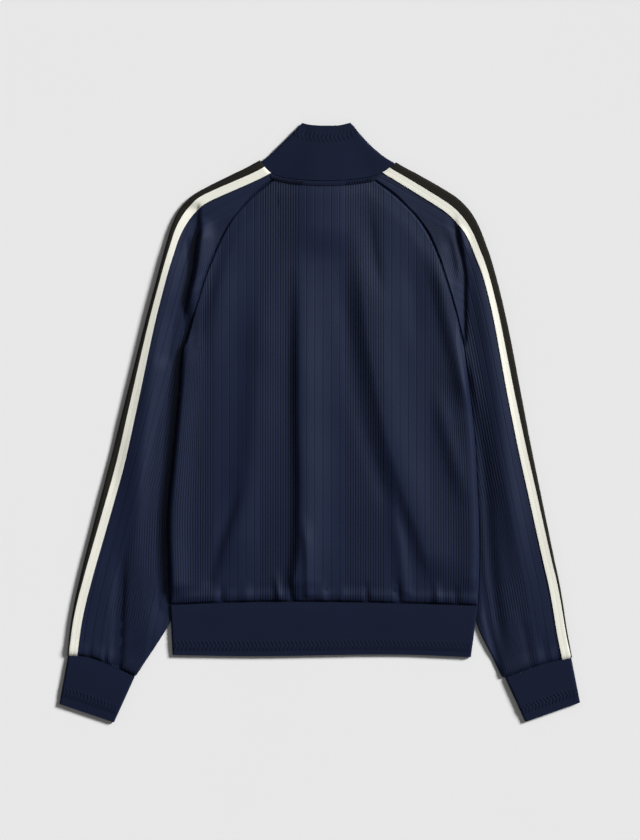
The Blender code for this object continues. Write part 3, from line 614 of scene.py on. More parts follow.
# %% [markdown]
# ## Back and fronts
# Knitted ribs run straight down the cloth, and the slanted raglan seam simply cuts through them. So
# the grid's columns stand at fixed places across, and each column ends where it meets the neck or
# the raglan. Only near the sides do the columns lean, because the side fold pulls the cloth in.

# %% Edges of the body
WIDE_LEFT, WIDE_RIGHT = -204.5, 215.5
SIDE_STRIP = 52.0     # how far in from the side the columns lean
ROLL_LENGTH = 64.5    # the side seam starts to roll at the armpit, over this length
levels = np.array([row.y for row in BODY])[::-1]
left_levels = np.array([row.left for row in BODY])[::-1]
right_levels = np.array([row.right for row in BODY])[::-1]


def side_edges(y):
    y = np.minimum(y, ARMPIT_Y)
    return spline(levels, left_levels, y), spline(levels, right_levels, y)


def leaned(nominal, y):
    left, right = side_edges(y)
    to_left = 1 - smooth((nominal - WIDE_LEFT) / SIDE_STRIP)
    to_right = 1 - smooth((WIDE_RIGHT - nominal) / SIDE_STRIP)
    return nominal + (left - WIDE_LEFT) * to_left + (right - WIDE_RIGHT) * to_right


def raglan(front, side):
    """The raglan seam from armpit to neck, as x and y of increasing x on the left."""
    rows = BODY[:ARMPIT_ROW + 1]
    x = [(r.front_left if side < 0 else r.front_right) if front else (r.left if side < 0 else r.right)
         for r in rows]
    y = [r.front_y if front else r.y for r in rows]
    order = np.argsort(x)
    return np.array(x)[order], np.array(y)[order]


def away_from_neck(x, y, amount):
    """Moves points straight away from the middle of the collar."""
    dx, dy = x - CENTRE, y - COLLAR_MIDDLE
    far = np.hypot(dx, dy)
    return x + dx / far * amount, y + dy / far * amount


neck_back, neck_front = fair(NECK_BACK), fair(NECK_FRONT)
UNDER_COLLAR = 1.3    # the back's neck edge lies a little way under the collar's


def top_edge(x, front):
    """y of the body's upper edge: raglan, neck, raglan."""
    neck = neck_front if front else neck_back
    left_x, left_y = raglan(front, -1)
    right_x, right_y = raglan(front, 1)
    y = np.interp(x, neck[:, 0], neck[:, 1])
    if not front:
        y = y + UNDER_COLLAR
    else:
        y = y - 2 * NECK_GAP
    y = np.where(x < left_x[-1], spline(left_x, left_y, x - GAP / 2), y)
    return np.where(x > right_x[0], spline(right_x, right_y, x + GAP / 2), y)


# %% Grid of the body
def spaced(total, ends, step):
    """Fractions of a length, close together at both ends and even between."""
    near = np.array(ends, float) / total
    middle = np.linspace(near[-1], 1 - near[-1], max(2, round((total - 2 * ends[-1]) / step)))
    return np.concatenate([near[:-1], middle, (1 - near[:-1])[::-1]])


EDGE_STOPS = (0, 0.5, 1.1, 1.9, 3.0, 4.5, 6.5, 9.0, 12.0, 16.0)


def body_plan(nominal, front, step):
    """Plan of a body panel: rows from its upper edge to the hem, and columns at nominal places."""
    top = top_edge(leaned(nominal, ARMPIT_Y), front)
    bottom = spline([p.x for p in HEM_TOP], [p.y for p in HEM_TOP], nominal) + GAP / 2
    fraction = spaced(575, EDGE_STOPS, step)[:, None]
    y = top - (top - bottom) * fraction
    x = leaned(np.broadcast_to(nominal, y.shape), y)
    slope = np.gradient(top, leaned(nominal, ARMPIT_Y))
    to_top = (top - y) / np.sqrt(1 + slope ** 2)
    return x, y, to_top, y - bottom


BODY_PUFF = 1.4       # air between back and fronts, away from the seams
SEAM_DIP = 2.3
SEAM_WIDTH = 1.1
HEM_SEAM_HEIGHT = 3.6
HEM_SEAM_WIDTH = 1.9
BODY_ROLL = 6.0


def hem_swell(z, to_end, rise=1.9):
    """The cloth blouses above a band's seam, and dips into the seam itself."""
    z = z + rise * np.exp(-((to_end - 9) / 7) ** 2)
    return z + (HEM_SEAM_HEIGHT - z) * np.exp(-(to_end / HEM_SEAM_WIDTH) ** 2)


RIB_START = -195.3
columns = rib_columns(WIDE_LEFT, WIDE_RIGHT, RIB_START)
corners = [BODY[0].left, BODY[0].right]
columns = np.unique(np.concatenate([columns, corners]))
x, y, to_top, to_hem = body_plan(columns, False, 4.4)
left, right = side_edges(y)
puff = BODY_PUFF * smooth(to_top / 26) * smooth(to_hem / 30)
full = hem_swell(cloth_height(x, y, puff), to_hem)
at_neck = (columns > BODY[0].left + 0.5) & (columns < BODY[0].right - 0.5)
full = full - SEAM_DIP * np.where(at_neck, smooth((2.4 - to_top) / 1.2), np.exp(-(to_top / SEAM_WIDTH) ** 2))
turn = smooth((ARMPIT_Y - y) / ROLL_LENGTH)
edge = np.minimum(x - left, right - x)
low = LOFT / 2 + GAP / 2
back_z = full - turn * (full - low) * (1 - rolled(edge, BODY_ROLL))
back_grid = np.dstack([x, y, back_z])
back = shell("back_cloth", back_grid, KNIT, navy_knit, across=np.broadcast_to(columns, x.shape),
             uv=np.dstack([x, y]))
ribbed(back, RIB_START)
print("back:", back_grid.shape, len(back.data.polygons), "faces, height",
      round(back_z.min(), 2), "to", round(back_z.max(), 2))

# %% Fronts
ZIP_HALF = 5.5


def front_cloth(side):
    zip_x = CENTRE + side * ZIP_HALF
    ends = (WIDE_LEFT, zip_x) if side < 0 else (zip_x, WIDE_RIGHT)
    nominal = rib_columns(*ends, RIB_START)
    peak = raglan(True, side)[0][-1 if side < 0 else 0]
    nominal = np.unique(np.concatenate([nominal, [peak]]))
    x, y, _, _ = body_plan(nominal, True, 8.0)
    left, right = side_edges(y)
    edge = x - left if side < 0 else right - x
    turn = smooth((ARMPIT_Y - y) / ROLL_LENGTH)
    z = SLIDER_LIFT * neck_bump(x, y) + turn * (LOFT / 2 - GAP / 2) * (1 - rolled(edge, 3.7))
    grid = np.dstack([x, y, z])[:, ::-1]
    across = np.broadcast_to(nominal, x.shape)[:, ::-1]
    piece = shell(f"front_cloth_{HAND[side]}", grid, KNIT, navy_knit, across=across,
                  uv=grid[:, :, :2].copy())
    return ribbed(piece, RIB_START)


fronts = {side: front_cloth(side) for side in HAND}
print("fronts:", [len(p.data.polygons) for p in fronts.values()])

# %% [markdown]
# ## Sleeves
# A raglan sleeve starts at the neck as a narrow strip, turns down at the shoulder and runs to the
# cuff. Laid flat it is folded along the top of the arm. A section table gives that fold, and the
# body's own table gives the other edge, so sleeve and body always meet at the seam. The ribs keep
# their distance from the fold, so `across` here is each point's distance to it.

# %% Sleeve table
Sleeve = namedtuple("Sleeve", "x y black")
SLEEVES = {-1: [
    Sleeve(-81.0, 353.5, 9.5), Sleeve(-99.0, 343.5, 9.5), Sleeve(-121.0, 333.0, 8.5),
    Sleeve(-161.5, 312.5, 6.2), Sleeve(-178.0, 300.5, 6.4),
    Sleeve(-191.0, 284.5, 6.8), Sleeve(-200.0, 265.5, 6.6), Sleeve(-207.0, 242.5, 6.3),
    Sleeve(-213.5, 219.5, 6.0), Sleeve(-222.0, 187.0, 5.6), Sleeve(-231.5, 152.0, 5.3),
    Sleeve(-243.0, 107.5, 5.4), Sleeve(-255.5, 57.5, 6.0), Sleeve(-267.5, 10.0, 6.8),
    Sleeve(-279.0, -37.0, 7.4), Sleeve(-291.0, -83.0, 7.0),
    Sleeve(-316.5, -180.0, 4.6), Sleeve(-324.5, -212.5, 3.6), Sleeve(-331.0, -241.5, 2.6),
    Sleeve(-336.5, -273.5, 1.8), Sleeve(-341.0, -314.5, 1.2),
], 1: [
    Sleeve(104.0, 350.5, 10.0), Sleeve(118.0, 342.5, 10.4), Sleeve(137.0, 332.5, 10.8),
    Sleeve(172.5, 312.0, 11.8), Sleeve(190.0, 300.0, 12.4),
    Sleeve(204.5, 284.5, 12.6), Sleeve(215.5, 265.5, 12.4), Sleeve(224.5, 242.5, 12.0),
    Sleeve(232.5, 219.5, 11.6), Sleeve(241.5, 187.0, 11.2), Sleeve(250.0, 152.0, 10.7),
    Sleeve(259.5, 107.5, 10.2), Sleeve(269.0, 57.5, 9.0), Sleeve(278.0, 10.0, 7.4),
    Sleeve(287.0, -37.0, 5.8), Sleeve(296.5, -83.0, 4.6),
    Sleeve(316.5, -180.0, 2.8), Sleeve(323.5, -212.5, 2.2), Sleeve(329.0, -243.5, 1.8),
    Sleeve(334.5, -280.0, 1.4), Sleeve(341.5, -317.5, 1.0),
]}
TAILS = {-1: [Point(-201.5, -268.0), Point(-222.0, -303.0), Point(-249.5, -343.0)],
         1: [Point(212.5, -272.0), Point(230.0, -310.0), Point(251.0, -345.0)]}
FOLD_ROLL = 3.0
TAPE_WALL = 0.8
TAPE_STAND = 1.2      # outer face of a tape above the sleeve it is sewn to
BESIDE_GAP = -0.1     # the sleeve tucks right beside the body below the armpit
VALLEY_LOFT = 3.0
VALLEY_WIDTH = {-1: 24.0, 1: 12.0}
BLOUSE = {-1: 1.0, 1: 3.4}      # how far the sleeve overhangs the cuff's inner corner
BLACK_WIDTH = 13.2
TAPE_WIDTH = 11.7

# %% Sections of a sleeve
Sections = namedtuple("Sections", "v fold inner roll loft black bow cuff")
CUFF_BOW = {  # how far the cuff's seam arches up, from the fold (0) to the inner edge (1)
    -1: [(0, 0), (0.14, 3.4), (0.30, 6.0), (0.55, 5.2), (0.85, 2.0), (1, 0)],
    1: [(0, 0), (0.18, 1.6), (0.38, 2.8), (0.65, 2.4), (0.88, 0.6), (1, 0)]}
BOW_LENGTH = 70.0


def sleeve_sections(side, front, v):
    """Fold, inner edge and edge facts of the sleeve at fractional rows of its table."""
    table, whole = SLEEVES[side], np.arange(len(SLEEVES[side]), dtype=float)
    neck = neck_front if front else neck_back
    fold = np.array([(s.x - side * 1.42, s.y) for s in table])
    inner = []
    for i in range(len(table)):
        roll = float(smooth((i - ARMPIT_ROW) / 2))
        if i < len(BODY):
            row = BODY[i]
            edge_x = (row.front_left, row.front_right) if front else (row.left, row.right)
            edge, level = edge_x[side > 0], row.front_y if front else row.y
            if i == 0:
                level = np.interp(edge, neck[:, 0], neck[:, 1])
            inner.append((edge + side * (GAP / 2 + BESIDE_GAP * roll), level))
        else:
            inner.append(TAILS[side][i - len(BODY)])
    inner = np.array(inner)
    corner = inner[0]
    column = lambda values: spline(whole, values, v)
    roll = smooth((v - ARMPIT_ROW) / 2)
    inner = np.column_stack([column(inner[:, k]) for k in range(2)])
    beside = (v > ARMPIT_ROW) & (v < len(BODY) - 1)
    body_x = side_edges(inner[:, 1])[side > 0] + side * (GAP / 2 + BESIDE_GAP * roll)
    inner[:, 0] = np.where(beside, body_x, inner[:, 0])
    valley = roll * (1 - smooth((v - len(BODY) + 0.5) / 2.5))
    end = neck[0] if side < 0 else neck[-1]
    far = lengths(neck)
    at_inner = np.interp(corner[0], neck[:, 0], far) if not front else \
        far[np.argmin(np.hypot(*(neck - corner).T))]
    bow = (neck, far, (0.0 if side < 0 else far[-1]), at_inner, end - fold[0])
    up = fold[-2] - fold[-1]
    cuff = (fold[-1], up / np.hypot(*up), np.array(CUFF_BOW[side], float), BLOUSE[side], VALLEY_WIDTH[side])
    return Sections(v, np.column_stack([column(fold[:, k]) for k in range(2)]),
                    inner, roll, LOFT + (VALLEY_LOFT - LOFT) * valley,
                    column([s.black for s in table]), bow, cuff)


def shown(black):
    """Arc length on the upper layer that shows a given width of black in plan."""
    small = FOLD_ROLL * np.arccos(1 - np.clip(black / FOLD_ROLL, 0, 1))
    return np.where(black < FOLD_ROLL, small, math.pi / 2 * FOLD_ROLL + black - FOLD_ROLL)


def sleeve_surface(s, d, upper):
    """Outer points of a sleeve layer at distances from its fold: one row for each section."""
    span = s.inner - s.fold
    width = np.hypot(span[:, 0], span[:, 1])[:, None]
    t = np.clip(d / width, 0, 1)
    x = s.fold[:, :1] + span[:, :1] * t
    y = s.fold[:, 1:] + span[:, 1:] * t
    neck, far, start, finish_at, to_end = s.bow
    along = start + (finish_at - start) * t
    neck_x, neck_y = (np.interp(along, far, neck[:, k]) for k in range(2))
    neck_x, neck_y = away_from_neck(neck_x - to_end[0] * (1 - t), neck_y, NECK_GAP)
    straight_x = s.fold[:1, :1] + span[:1, :1] * t
    straight_y = s.fold[:1, 1:] + span[:1, 1:] * t
    follow = (1 - smooth(s.v / 1.3))[:, None]
    x = x + (neck_x - straight_x) * follow
    y = y + (neck_y - straight_y) * follow
    fold_end, up, arch, blouse, valley_width = s.cuff
    to_cuff = np.hypot(*(fold_end - s.fold).T)[:, None]
    raised = spline(arch[:, 0], arch[:, 1], t) * (1 - smooth(to_cuff / BOW_LENGTH))
    x, y = x + up[0] * raised, y + up[1] * raised
    blouse = blouse * to_cuff / 5 * np.exp(1 - to_cuff / 5) * t ** 3
    x, y = x + span[:, :1] / width * blouse, y + span[:, 1:] / width * blouse
    left = np.maximum(width - d, 0)
    small = s.loft[:, None] / 2
    roll = s.roll[:, None]
    over, under = rolled(d, FOLD_ROLL), rolled(left, small)
    middle = (LOFT + 1.42) / 2
    if not upper:
        wrapped = FOLD_ROLL * (1 - math.pi / 2) + BLACK_WIDTH - shown(s.black)[:, None]
        lift = (TAPE_STAND + 0.1) * (1 - smooth((d - wrapped - 1.0) / 8))
        z = lift + (middle - GAP / 2 - lift) * (1 - over)
        return np.dstack([x, y, z + roll * (small - GAP / 2) * (1 - under)])
    full = cloth_height(x, y)
    valley = (roll * (1 - smooth((s.v - len(BODY) + 0.5) / 2.5))[:, None]) * (1 - smooth(left / valley_width))
    full = full - valley * (full - s.loft[:, None])
    full = tucked(x, y, full)
    full = hem_swell(full, to_cuff, rise=1.3)
    full = full - (1 - roll) * SEAM_DIP * np.exp(-(left * 0.8 / SEAM_WIDTH) ** 2)
    neckward = np.hypot(*(s.fold - s.fold[0]).T)[:, None]
    full = full - 1.0 * np.exp(-(neckward / 1.8) ** 2)
    full = np.maximum(full, 2.4)
    z = full - (full - middle - GAP / 2) * (1 - over)
    return np.dstack([x, y, z - roll * (full - np.minimum(small, full / 2) - GAP / 2) * (1 - under)])


# %% Sleeve cloth
SLEEVE_RIB_START = {-1: 50.0, 1: 47.0}


def distance_to(line, points):
    """Distance of plan points to a line of plan points."""
    nearest = np.full(len(points), 1e9)
    for a, b in zip(line, line[1:]):
        ab = b - a
        t = np.clip(((points - a) @ ab) / (ab @ ab), 0, 1)
        gap = points - (a + t[:, None] * ab)
        nearest = np.minimum(nearest, np.hypot(gap[:, 0], gap[:, 1]))
    return nearest


SHOULDER = {-1: [(-99.0, 343.5), (-161.5, 312.5)], 1: [(118.0, 342.5), (172.5, 312.0)]}
LOBE_EDGE = {  # the crease where the ribs turn from the shoulder's slope to the arm
    -1: [(-191, 118), (-180, 176), (-171.5, 212), (-168, 236), (-165, 257), (-165, 330)],
    1: [(196, 98), (195.5, 165), (194.7, 206), (191, 225), (186, 245), (182, 285), (180, 330)]}


def rib_distance(side, plan):
    """How far across the sleeve's cloth a plan point is: from the arm's fold, or in the lobe of
    the shoulder from the straight line of the shoulder itself."""
    line = fair([(p.x - side * 1.42, p.y) for p in SLEEVES[side]], 120)
    from_fold = distance_to(line, plan)
    a, b = (np.array(p) for p in SHOULDER[side])
    along = (b - a) / np.hypot(*(b - a))
    from_shoulder = np.abs((plan[:, 0] - a[0]) * along[1] - (plan[:, 1] - a[1]) * along[0])
    edge = np.array(LOBE_EDGE[side], float)
    crease = np.interp(plan[:, 1], edge[:, 1], edge[:, 0])
    in_lobe = (side * (crease - plan[:, 0]) > 0) & (plan[:, 1] > edge[0, 1])
    return np.where(in_lobe, from_shoulder, from_fold)


def sleeve_stops(s, between):
    """Distances from the fold at each section: close at both edges, even between."""
    width = np.hypot(*(s.inner - s.fold).T)[:, None]
    small = s.loft[:, None] / 2
    turn = FOLD_ROLL * (1 - np.cos(np.linspace(0, math.pi / 2, 6)))[None, :-1]
    tuck = small * (1 - np.cos(np.linspace(math.pi / 2, 0, 5)))[None, 1:]
    middle = FOLD_ROLL + (width - small - FOLD_ROLL) * np.linspace(0, 1, between)[None, :]
    return np.hstack([np.broadcast_to(turn, (len(s.v), turn.shape[1])), middle, width - tuck])


def sleeve_rows(count):
    """Fractional rows, even along the sleeve and close together at its ends."""
    end = len(SLEEVES[-1]) - 1
    ends = np.array([0, 0.02, 0.045, 0.08, 0.13, 0.2])
    return np.concatenate([ends[:-1], np.linspace(0.2, end - 0.2, count), (end - ends[:-1])[::-1]])


def sleeve_cloth(side, upper):
    s = sleeve_sections(side, not upper, sleeve_rows(130 if upper else 80))
    d = sleeve_stops(s, 165 if upper else 110)
    grid = sleeve_surface(s, d, upper)
    plan = grid[:, :, :2].reshape(-1, 2)
    across = rib_distance(side, plan).reshape(grid.shape[:2])
    along = np.broadcast_to(np.cumsum(np.r_[0, np.hypot(*np.diff(s.fold, axis=0).T)])[:, None],
                            across.shape)
    uv = np.dstack([across, along])
    if (side > 0) == upper:
        grid, across, uv = grid[:, ::-1], across[:, ::-1], uv[:, ::-1]
    name = f"sleeve_{'back' if upper else 'front'}_cloth_{HAND[side]}"
    piece = shell(name, grid, KNIT, navy_knit, across=across, uv=uv)
    return ribbed(piece, SLEEVE_RIB_START[side])


sleeves = {(side, upper): sleeve_cloth(side, upper) for side in HAND for upper in (True, False)}
print("sleeves:", {p.name: len(p.data.polygons) for p in sleeves.values()})

# %% [markdown]
# ## Tapes along the arm
# A black tape covers the overarm fold, most of it wrapped to the front, and a cream tape lies beside
# it. They are sewn onto the sleeve, so they are made from the sleeve's own surface: the same points
# at given distances round the fold, moved out by the tape's thickness.

# %% Overarm tapes
def round_fold(side, arcs, v):
    """Points round the overarm fold at arc lengths, positive on the upper layer."""
    quarter = math.pi / 2 * FOLD_ROLL
    d = FOLD_ROLL * (1 - np.cos(np.minimum(np.abs(arcs), quarter) / FOLD_ROLL))
    d = d + np.maximum(np.abs(arcs) - quarter, 0)
    over = sleeve_surface(sleeve_sections(side, False, v), d, True)
    under = sleeve_surface(sleeve_sections(side, True, v), d, False)
    return np.where((arcs >= 0)[:, :, None], over, under)


def tape_grid(side, first, last, fractions, stand, v):
    """Grid on the sleeve between two arc lengths, raised by stand."""
    arcs = first[:, None] + (last - first)[:, None] * np.asarray(fractions)[None, :]
    grid = round_fold(side, arcs, v)
    if side > 0:
        grid = grid[:, ::-1]
    return grid + normals(grid) * stand, arcs


def tape(side, name, colour, first, last, fractions, groove=0.0):
    v = sleeve_rows(150)
    black = sleeve_sections(side, False, v).black
    fractions = np.asarray(fractions)
    stand = TAPE_STAND - groove * np.exp(-((fractions - 0.5) * TAPE_WIDTH / 0.9) ** 2)
    if side > 0:
        stand = stand[::-1]
    grid, _ = tape_grid(side, first(black), last(black), fractions, stand[None, :, None], v)
    return shell(name, grid, TAPE_WALL, colour, row_step=3, col_step=3)


edges = (0, 0.02, 0.05)
cream_fractions = np.concatenate([edges, np.linspace(0.09, 0.91, 15), 1 - np.array(edges)[::-1]])
tapes = {}
for side, hand in HAND.items():
    tapes["cream", side] = tape(side, f"cream_tape_{hand}", cream_tape, lambda b: shown(b) + GAP,
                                lambda b: shown(b) + TAPE_WIDTH, cream_fractions, groove=0.12)
    tapes["black", side] = tape(side, f"black_tape_{hand}", black_tape,
                                lambda b: shown(b) - BLACK_WIDTH, lambda b: shown(b),
                                np.linspace(0, 1, 25))
print("tapes:", {p.name: len(p.data.polygons) for p in tapes.values()})

# %% [markdown]
# ## Collar, hem band and cuffs
# These are bands of a thicker rib, folded double. Each is a loop that goes over the top layer, round
# the side fold and back under, and the collar and hem band open at the zip. The loop at one edge is
# joined to the loop at the other by straight rows.

# %% Band outlines
COLLAR_FOLD = [Point(-80.5, 352.2), Point(102.4, 350.2)]
COLLAR_TOP_BACK = [Point(-23.5, 404.5), Point(-16.0, 402.6), Point(-6.0, 401.3), Point(10.0, 400.9),
                   Point(26.0, 401.3), Point(35.0, 403.0), Point(41.5, 405.0)]
COLLAR_TOP_FRONT = [Point(-23.5, 404.5), Point(-20.5, 372.0), Point(-13.0, 343.0), Point(-2.0, 325.0),
                    Point(9.5, 320.0), Point(22.0, 325.0), Point(33.0, 343.0), Point(38.5, 372.0),
                    Point(41.5, 405.0)]
COLLAR_FRONT_SEAM = [COLLAR_FOLD[0], Point(-75.6, 329.5)] + NECK_FRONT[2:11] + [
    Point(98.6, 329.5), COLLAR_FOLD[1]]
HEM_END = [Point(-198.5, -314.0), Point(-107.5, -315.5), Point(135.5, -314.0), Point(204.5, -317.0)]
CUFF_END = {-1: [Point(-351.5, -380.0), Point(-277.5, -405.0)],
            1: [Point(352.0, -378.0), Point(278.0, -404.5)]}
RIB = 1.6
RIB_ROLL = 3.0

# %% Band builder
def on_line(line, d):
    """Plan points of a line at distances along it."""
    far = lengths(line)
    return np.column_stack([np.interp(d, far, line[:, k]) for k in range(2)])


def close_at_ends(length, step, first=True, last=True):
    """Distances along a layer, close together where it rolls round a fold."""
    turn = RIB_ROLL * (1 - np.cos(np.linspace(0, math.pi / 2, 6)))[:-1]
    a, b = (RIB_ROLL if first else 0), (length - RIB_ROLL if last else length)
    parts = [turn] if first else []
    parts.append(np.linspace(a, b, max(2, round((b - a) / step))))
    if last:
        parts.append((length - turn)[::-1])
    return np.concatenate(parts)


def band_loop(upper, lower, counts, rise=0.0, lift=0.0, opening=None):
    """One loop of a band: its upper layer from left to right, with the lower layer round it.
    counts are the fractions along each layer, so that two loops of a band match."""
    def points(line, fractions, under):
        total = lengths(line)[-1]
        d = fractions * total
        plan = on_line(line, d)
        near = rolled(np.minimum(d, total - d), RIB_ROLL)
        bump = neck_bump(plan[:, 0], plan[:, 1])
        half = RIB_LOFT / 2
        z = half * (1 - near) + lift * bump if under else half + (half + rise * bump) * near
        return np.column_stack([plan, z])

    over = points(upper, counts["over"], False)
    if opening is None:
        return np.vstack([over, points(lower, counts["under"], True)[-2:0:-1]])
    total = lengths(lower)[-1]
    edges = [np.interp(CENTRE + side * opening, lower[:, 0], lengths(lower)) / total for side in HAND]
    left = counts["under"] * edges[0]
    right = 1 - counts["under"] * (1 - edges[1])
    return np.vstack([points(lower, left, True)[:0:-1], over, points(lower, right, True)[1:]])


def fractions_of(line, step, last=True):
    """Fractions along a line about a step apart, and closer at its ends."""
    total = lengths(line)[-1]
    return close_at_ends(total, step, True, last) / total


def band_grid(near, far, rows):
    """Straight rows between the loops at a band's two edges."""
    t = np.linspace(0, 1, rows)[:, None, None]
    return near[None] + (far - near)[None] * t


def chevrons(u, v, middle, pitch, height, slant):
    """Quilted zigzag between two rows of slanted stitches: 0 at its edges."""
    inside = smooth((height / 2 - np.abs(v - middle)) / 1.2)
    wave = np.cos(2 * math.pi * (u + slant * np.abs(v - middle)) / pitch)
    return inside * (0.5 + 0.5 * wave)


# %% Hem band
HEM_ZIGZAG = dict(pitch=5.5, height=14.0, slant=0.62)
HEM_ZIGZAG_AT = 13.5      # its middle, above the lower edge
HEM_LONG, HEM_ROWS = 70.0, 72
QUILT = 0.5               # height of the quilting

hem_top = fair([Point(p.x, p.y - GAP / 2) for p in HEM_TOP])
hem_end = fair(HEM_END)
hem_counts = {"over": fractions_of(hem_top, 0.95), "under": fractions_of(hem_top, 4.0, last=False)}
hem_grid = band_grid(band_loop(hem_top, hem_top, hem_counts, opening=ZIP_HALF),
                     band_loop(hem_end, hem_end, hem_counts, opening=ZIP_HALF), HEM_ROWS)
height_down = np.linspace(0, 1, HEM_ROWS)[:, None] * HEM_LONG
start = len(hem_counts["under"]) - 1
over = slice(start, start + len(hem_counts["over"]))
top = hem_grid[:, over]
crown = 0.45 * np.sin(math.pi * np.clip(height_down / HEM_LONG, 0, 1))
crown = crown + 0.5 * rumple(top[:, :, 0], top[:, :, 1])
quilt = QUILT * chevrons(top[:, :, 0], height_down, HEM_LONG - HEM_ZIGZAG_AT, **HEM_ZIGZAG)
flat = rolled(np.minimum(top[:, :, 0] - top[:, :1, 0], top[:, -1:, 0] - top[:, :, 0]), 8.0)
top_edge_dip = -0.5 * np.exp(-(height_down / 9) ** 2)
lower_step = -0.55 * smooth((height_down - 57) / 7)
hem_grid[:, over, 2] += (crown + quilt + top_edge_dip + lower_step) * flat
hem = shell("hem_rib", hem_grid, RIB, navy_rib, row_step=9, col_step=5)
print("hem band:", hem_grid.shape, len(hem.data.polygons))

# %% Cuffs
CUFF_ZIGZAG = dict(pitch=5.0, height=13.0, slant=0.55)
CUFF_ZIGZAG_AT = 17.0     # its middle, above the lower edge
CUFF_LONG, CUFF_WIDE, CUFF_ROWS = 66.0, 85.0, 66


def cuff_cloth(side):
    """One cuff, with its grid and the number of columns on its upper layer."""
    s = sleeve_sections(side, False, np.array([20.0]))
    near = np.array([s.fold[0], s.inner[0]])
    far = np.array(CUFF_END[side], float)
    down = (far[0] - near[0]) / np.hypot(*(far[0] - near[0])) * GAP
    near = near + down
    if side > 0:
        near, far = near[::-1], far[::-1]
    near, far = fair(near, 60), fair(far, 60)
    _, up, arch, _, _ = s.cuff
    t = np.linspace(0, 1, 60)
    near = near + up * spline(arch[:, 0], arch[:, 1], t if side < 0 else 1 - t)[:, None]
    counts = {"over": fractions_of(near, 0.95), "under": fractions_of(near, 3.0)}
    grid = band_grid(band_loop(near, near, counts), band_loop(far, far, counts), CUFF_ROWS)
    count = len(counts["over"])
    v = np.linspace(0, 1, CUFF_ROWS)[:, None] * CUFF_LONG
    u = (counts["over"] * CUFF_WIDE)[None, :]
    ends = rolled(np.minimum(u, CUFF_WIDE - u), 8.0)
    crown = 0.5 * np.sin(math.pi * v / CUFF_LONG) - 0.5 * np.exp(-(v / 9) ** 2)
    quilt = QUILT * chevrons(u, v, CUFF_LONG - CUFF_ZIGZAG_AT, **CUFF_ZIGZAG)
    lower_step = -0.5 * smooth((v - CUFF_LONG + CUFF_ZIGZAG_AT) / 7)
    grid[:, :count, 2] += (crown + quilt + lower_step) * ends
    piece = shell(f"cuff_rib_{HAND[side]}", grid, RIB, navy_rib, row_step=8, col_step=4, closed=True)
    return piece, grid, count


cuffs = {side: cuff_cloth(side) for side in HAND}
print("cuffs:", {p.name: len(p.data.polygons) for p, _, _ in cuffs.values()})

# %% Collar
COLLAR_LONG, COLLAR_ROWS = 77.0, 76
COLLAR_ZIGZAG = dict(pitch=5.6, height=14.0, slant=-0.55)
COLLAR_ZIGZAG_AT = 17.5     # its middle, below the top edge
COLLAR_WAIST = {  # how far in its sides curve, from the top (0) to the neck seam (1)
    -1: [(0, 0), (0.3, 1.4), (0.6, 2.5), (0.88, 2.8), (1, 0)],
    1: [(0, 0), (0.08, 0.3), (0.2, 2.4), (0.4, 5.0), (0.65, 6.2), (0.88, 4.0), (1, 0)]}
collar_seam = [COLLAR_FOLD[0]] + [p for p in NECK_BACK if -76 < p.x < 100] + [COLLAR_FOLD[1]]


def toward_neck(points):
    return [Point(*away_from_neck(np.float64(p.x), np.float64(p.y), -NECK_GAP)) for p in points]


seam, front_seam = fair(toward_neck(collar_seam)), fair(toward_neck(COLLAR_FRONT_SEAM))
counts = {"over": fractions_of(seam, 0.95), "under": fractions_of(seam, 5.0, last=False)}
near = band_loop(seam, front_seam, counts, rise=NECK_RISE, lift=SLIDER_LIFT, opening=ZIP_HALF)
far = band_loop(fair(COLLAR_TOP_BACK), fair(COLLAR_TOP_FRONT), counts, rise=NECK_RISE,
                lift=SLIDER_LIFT, opening=ZIP_HALF)
collar_grid = band_grid(far, near, COLLAR_ROWS)
t = np.linspace(0, 1, COLLAR_ROWS)[:, None]
centred = (collar_grid[:, :, 0] - CENTRE)
pulls = {side: spline(*np.array(COLLAR_WAIST[side], float).T, t) for side in HAND}
waist = np.where(centred < 0, pulls[-1], pulls[1])
reach = np.abs(centred).max(axis=1, keepdims=True)
collar_grid[:, :, 0] -= waist * np.clip(centred / reach, -1, 1) ** 3
start = len(counts["under"]) - 1
collar_over = slice(start, start + len(counts["over"]))
top = collar_grid[:, collar_over]
v = t * COLLAR_LONG
u = top[:, :, 0] - CENTRE
ends = rolled(np.minimum(top[:, :, 0] - top[:, :1, 0], top[:, -1:, 0] - top[:, :, 0]), 8.0)
crown = 0.6 * np.sin(math.pi * t) + 0.5 * rumple(top[:, :, 0] + 40, top[:, :, 1])
dent = -0.9 * np.exp(-((top[:, :, 0] + 19) / 7) ** 2 - ((top[:, :, 1] - 391) / 9) ** 2)
sag = 1.3 * np.cos(math.pi * np.clip((u + 6) / 45, -1, 1)) - 2.2     # it dips in the middle
quilt = QUILT * chevrons(u, v - sag, COLLAR_ZIGZAG_AT, **COLLAR_ZIGZAG)
collar_grid[:, collar_over, 2] += (crown + dent + quilt) * ends
collar = shell("collar_rib", collar_grid, RIB, navy_rib, row_step=9, col_step=5)
print("collar:", collar_grid.shape, len(collar.data.polygons))

# %% [markdown]
# ## Binding over the neck seam
# A narrow strip of knit is rolled over the seam between back and collar. It lies on the back's own
# height, and its section is a low arch, so its edges turn down onto the cloth.

# %% Neck binding
PIPING_WIDTH = 7.0


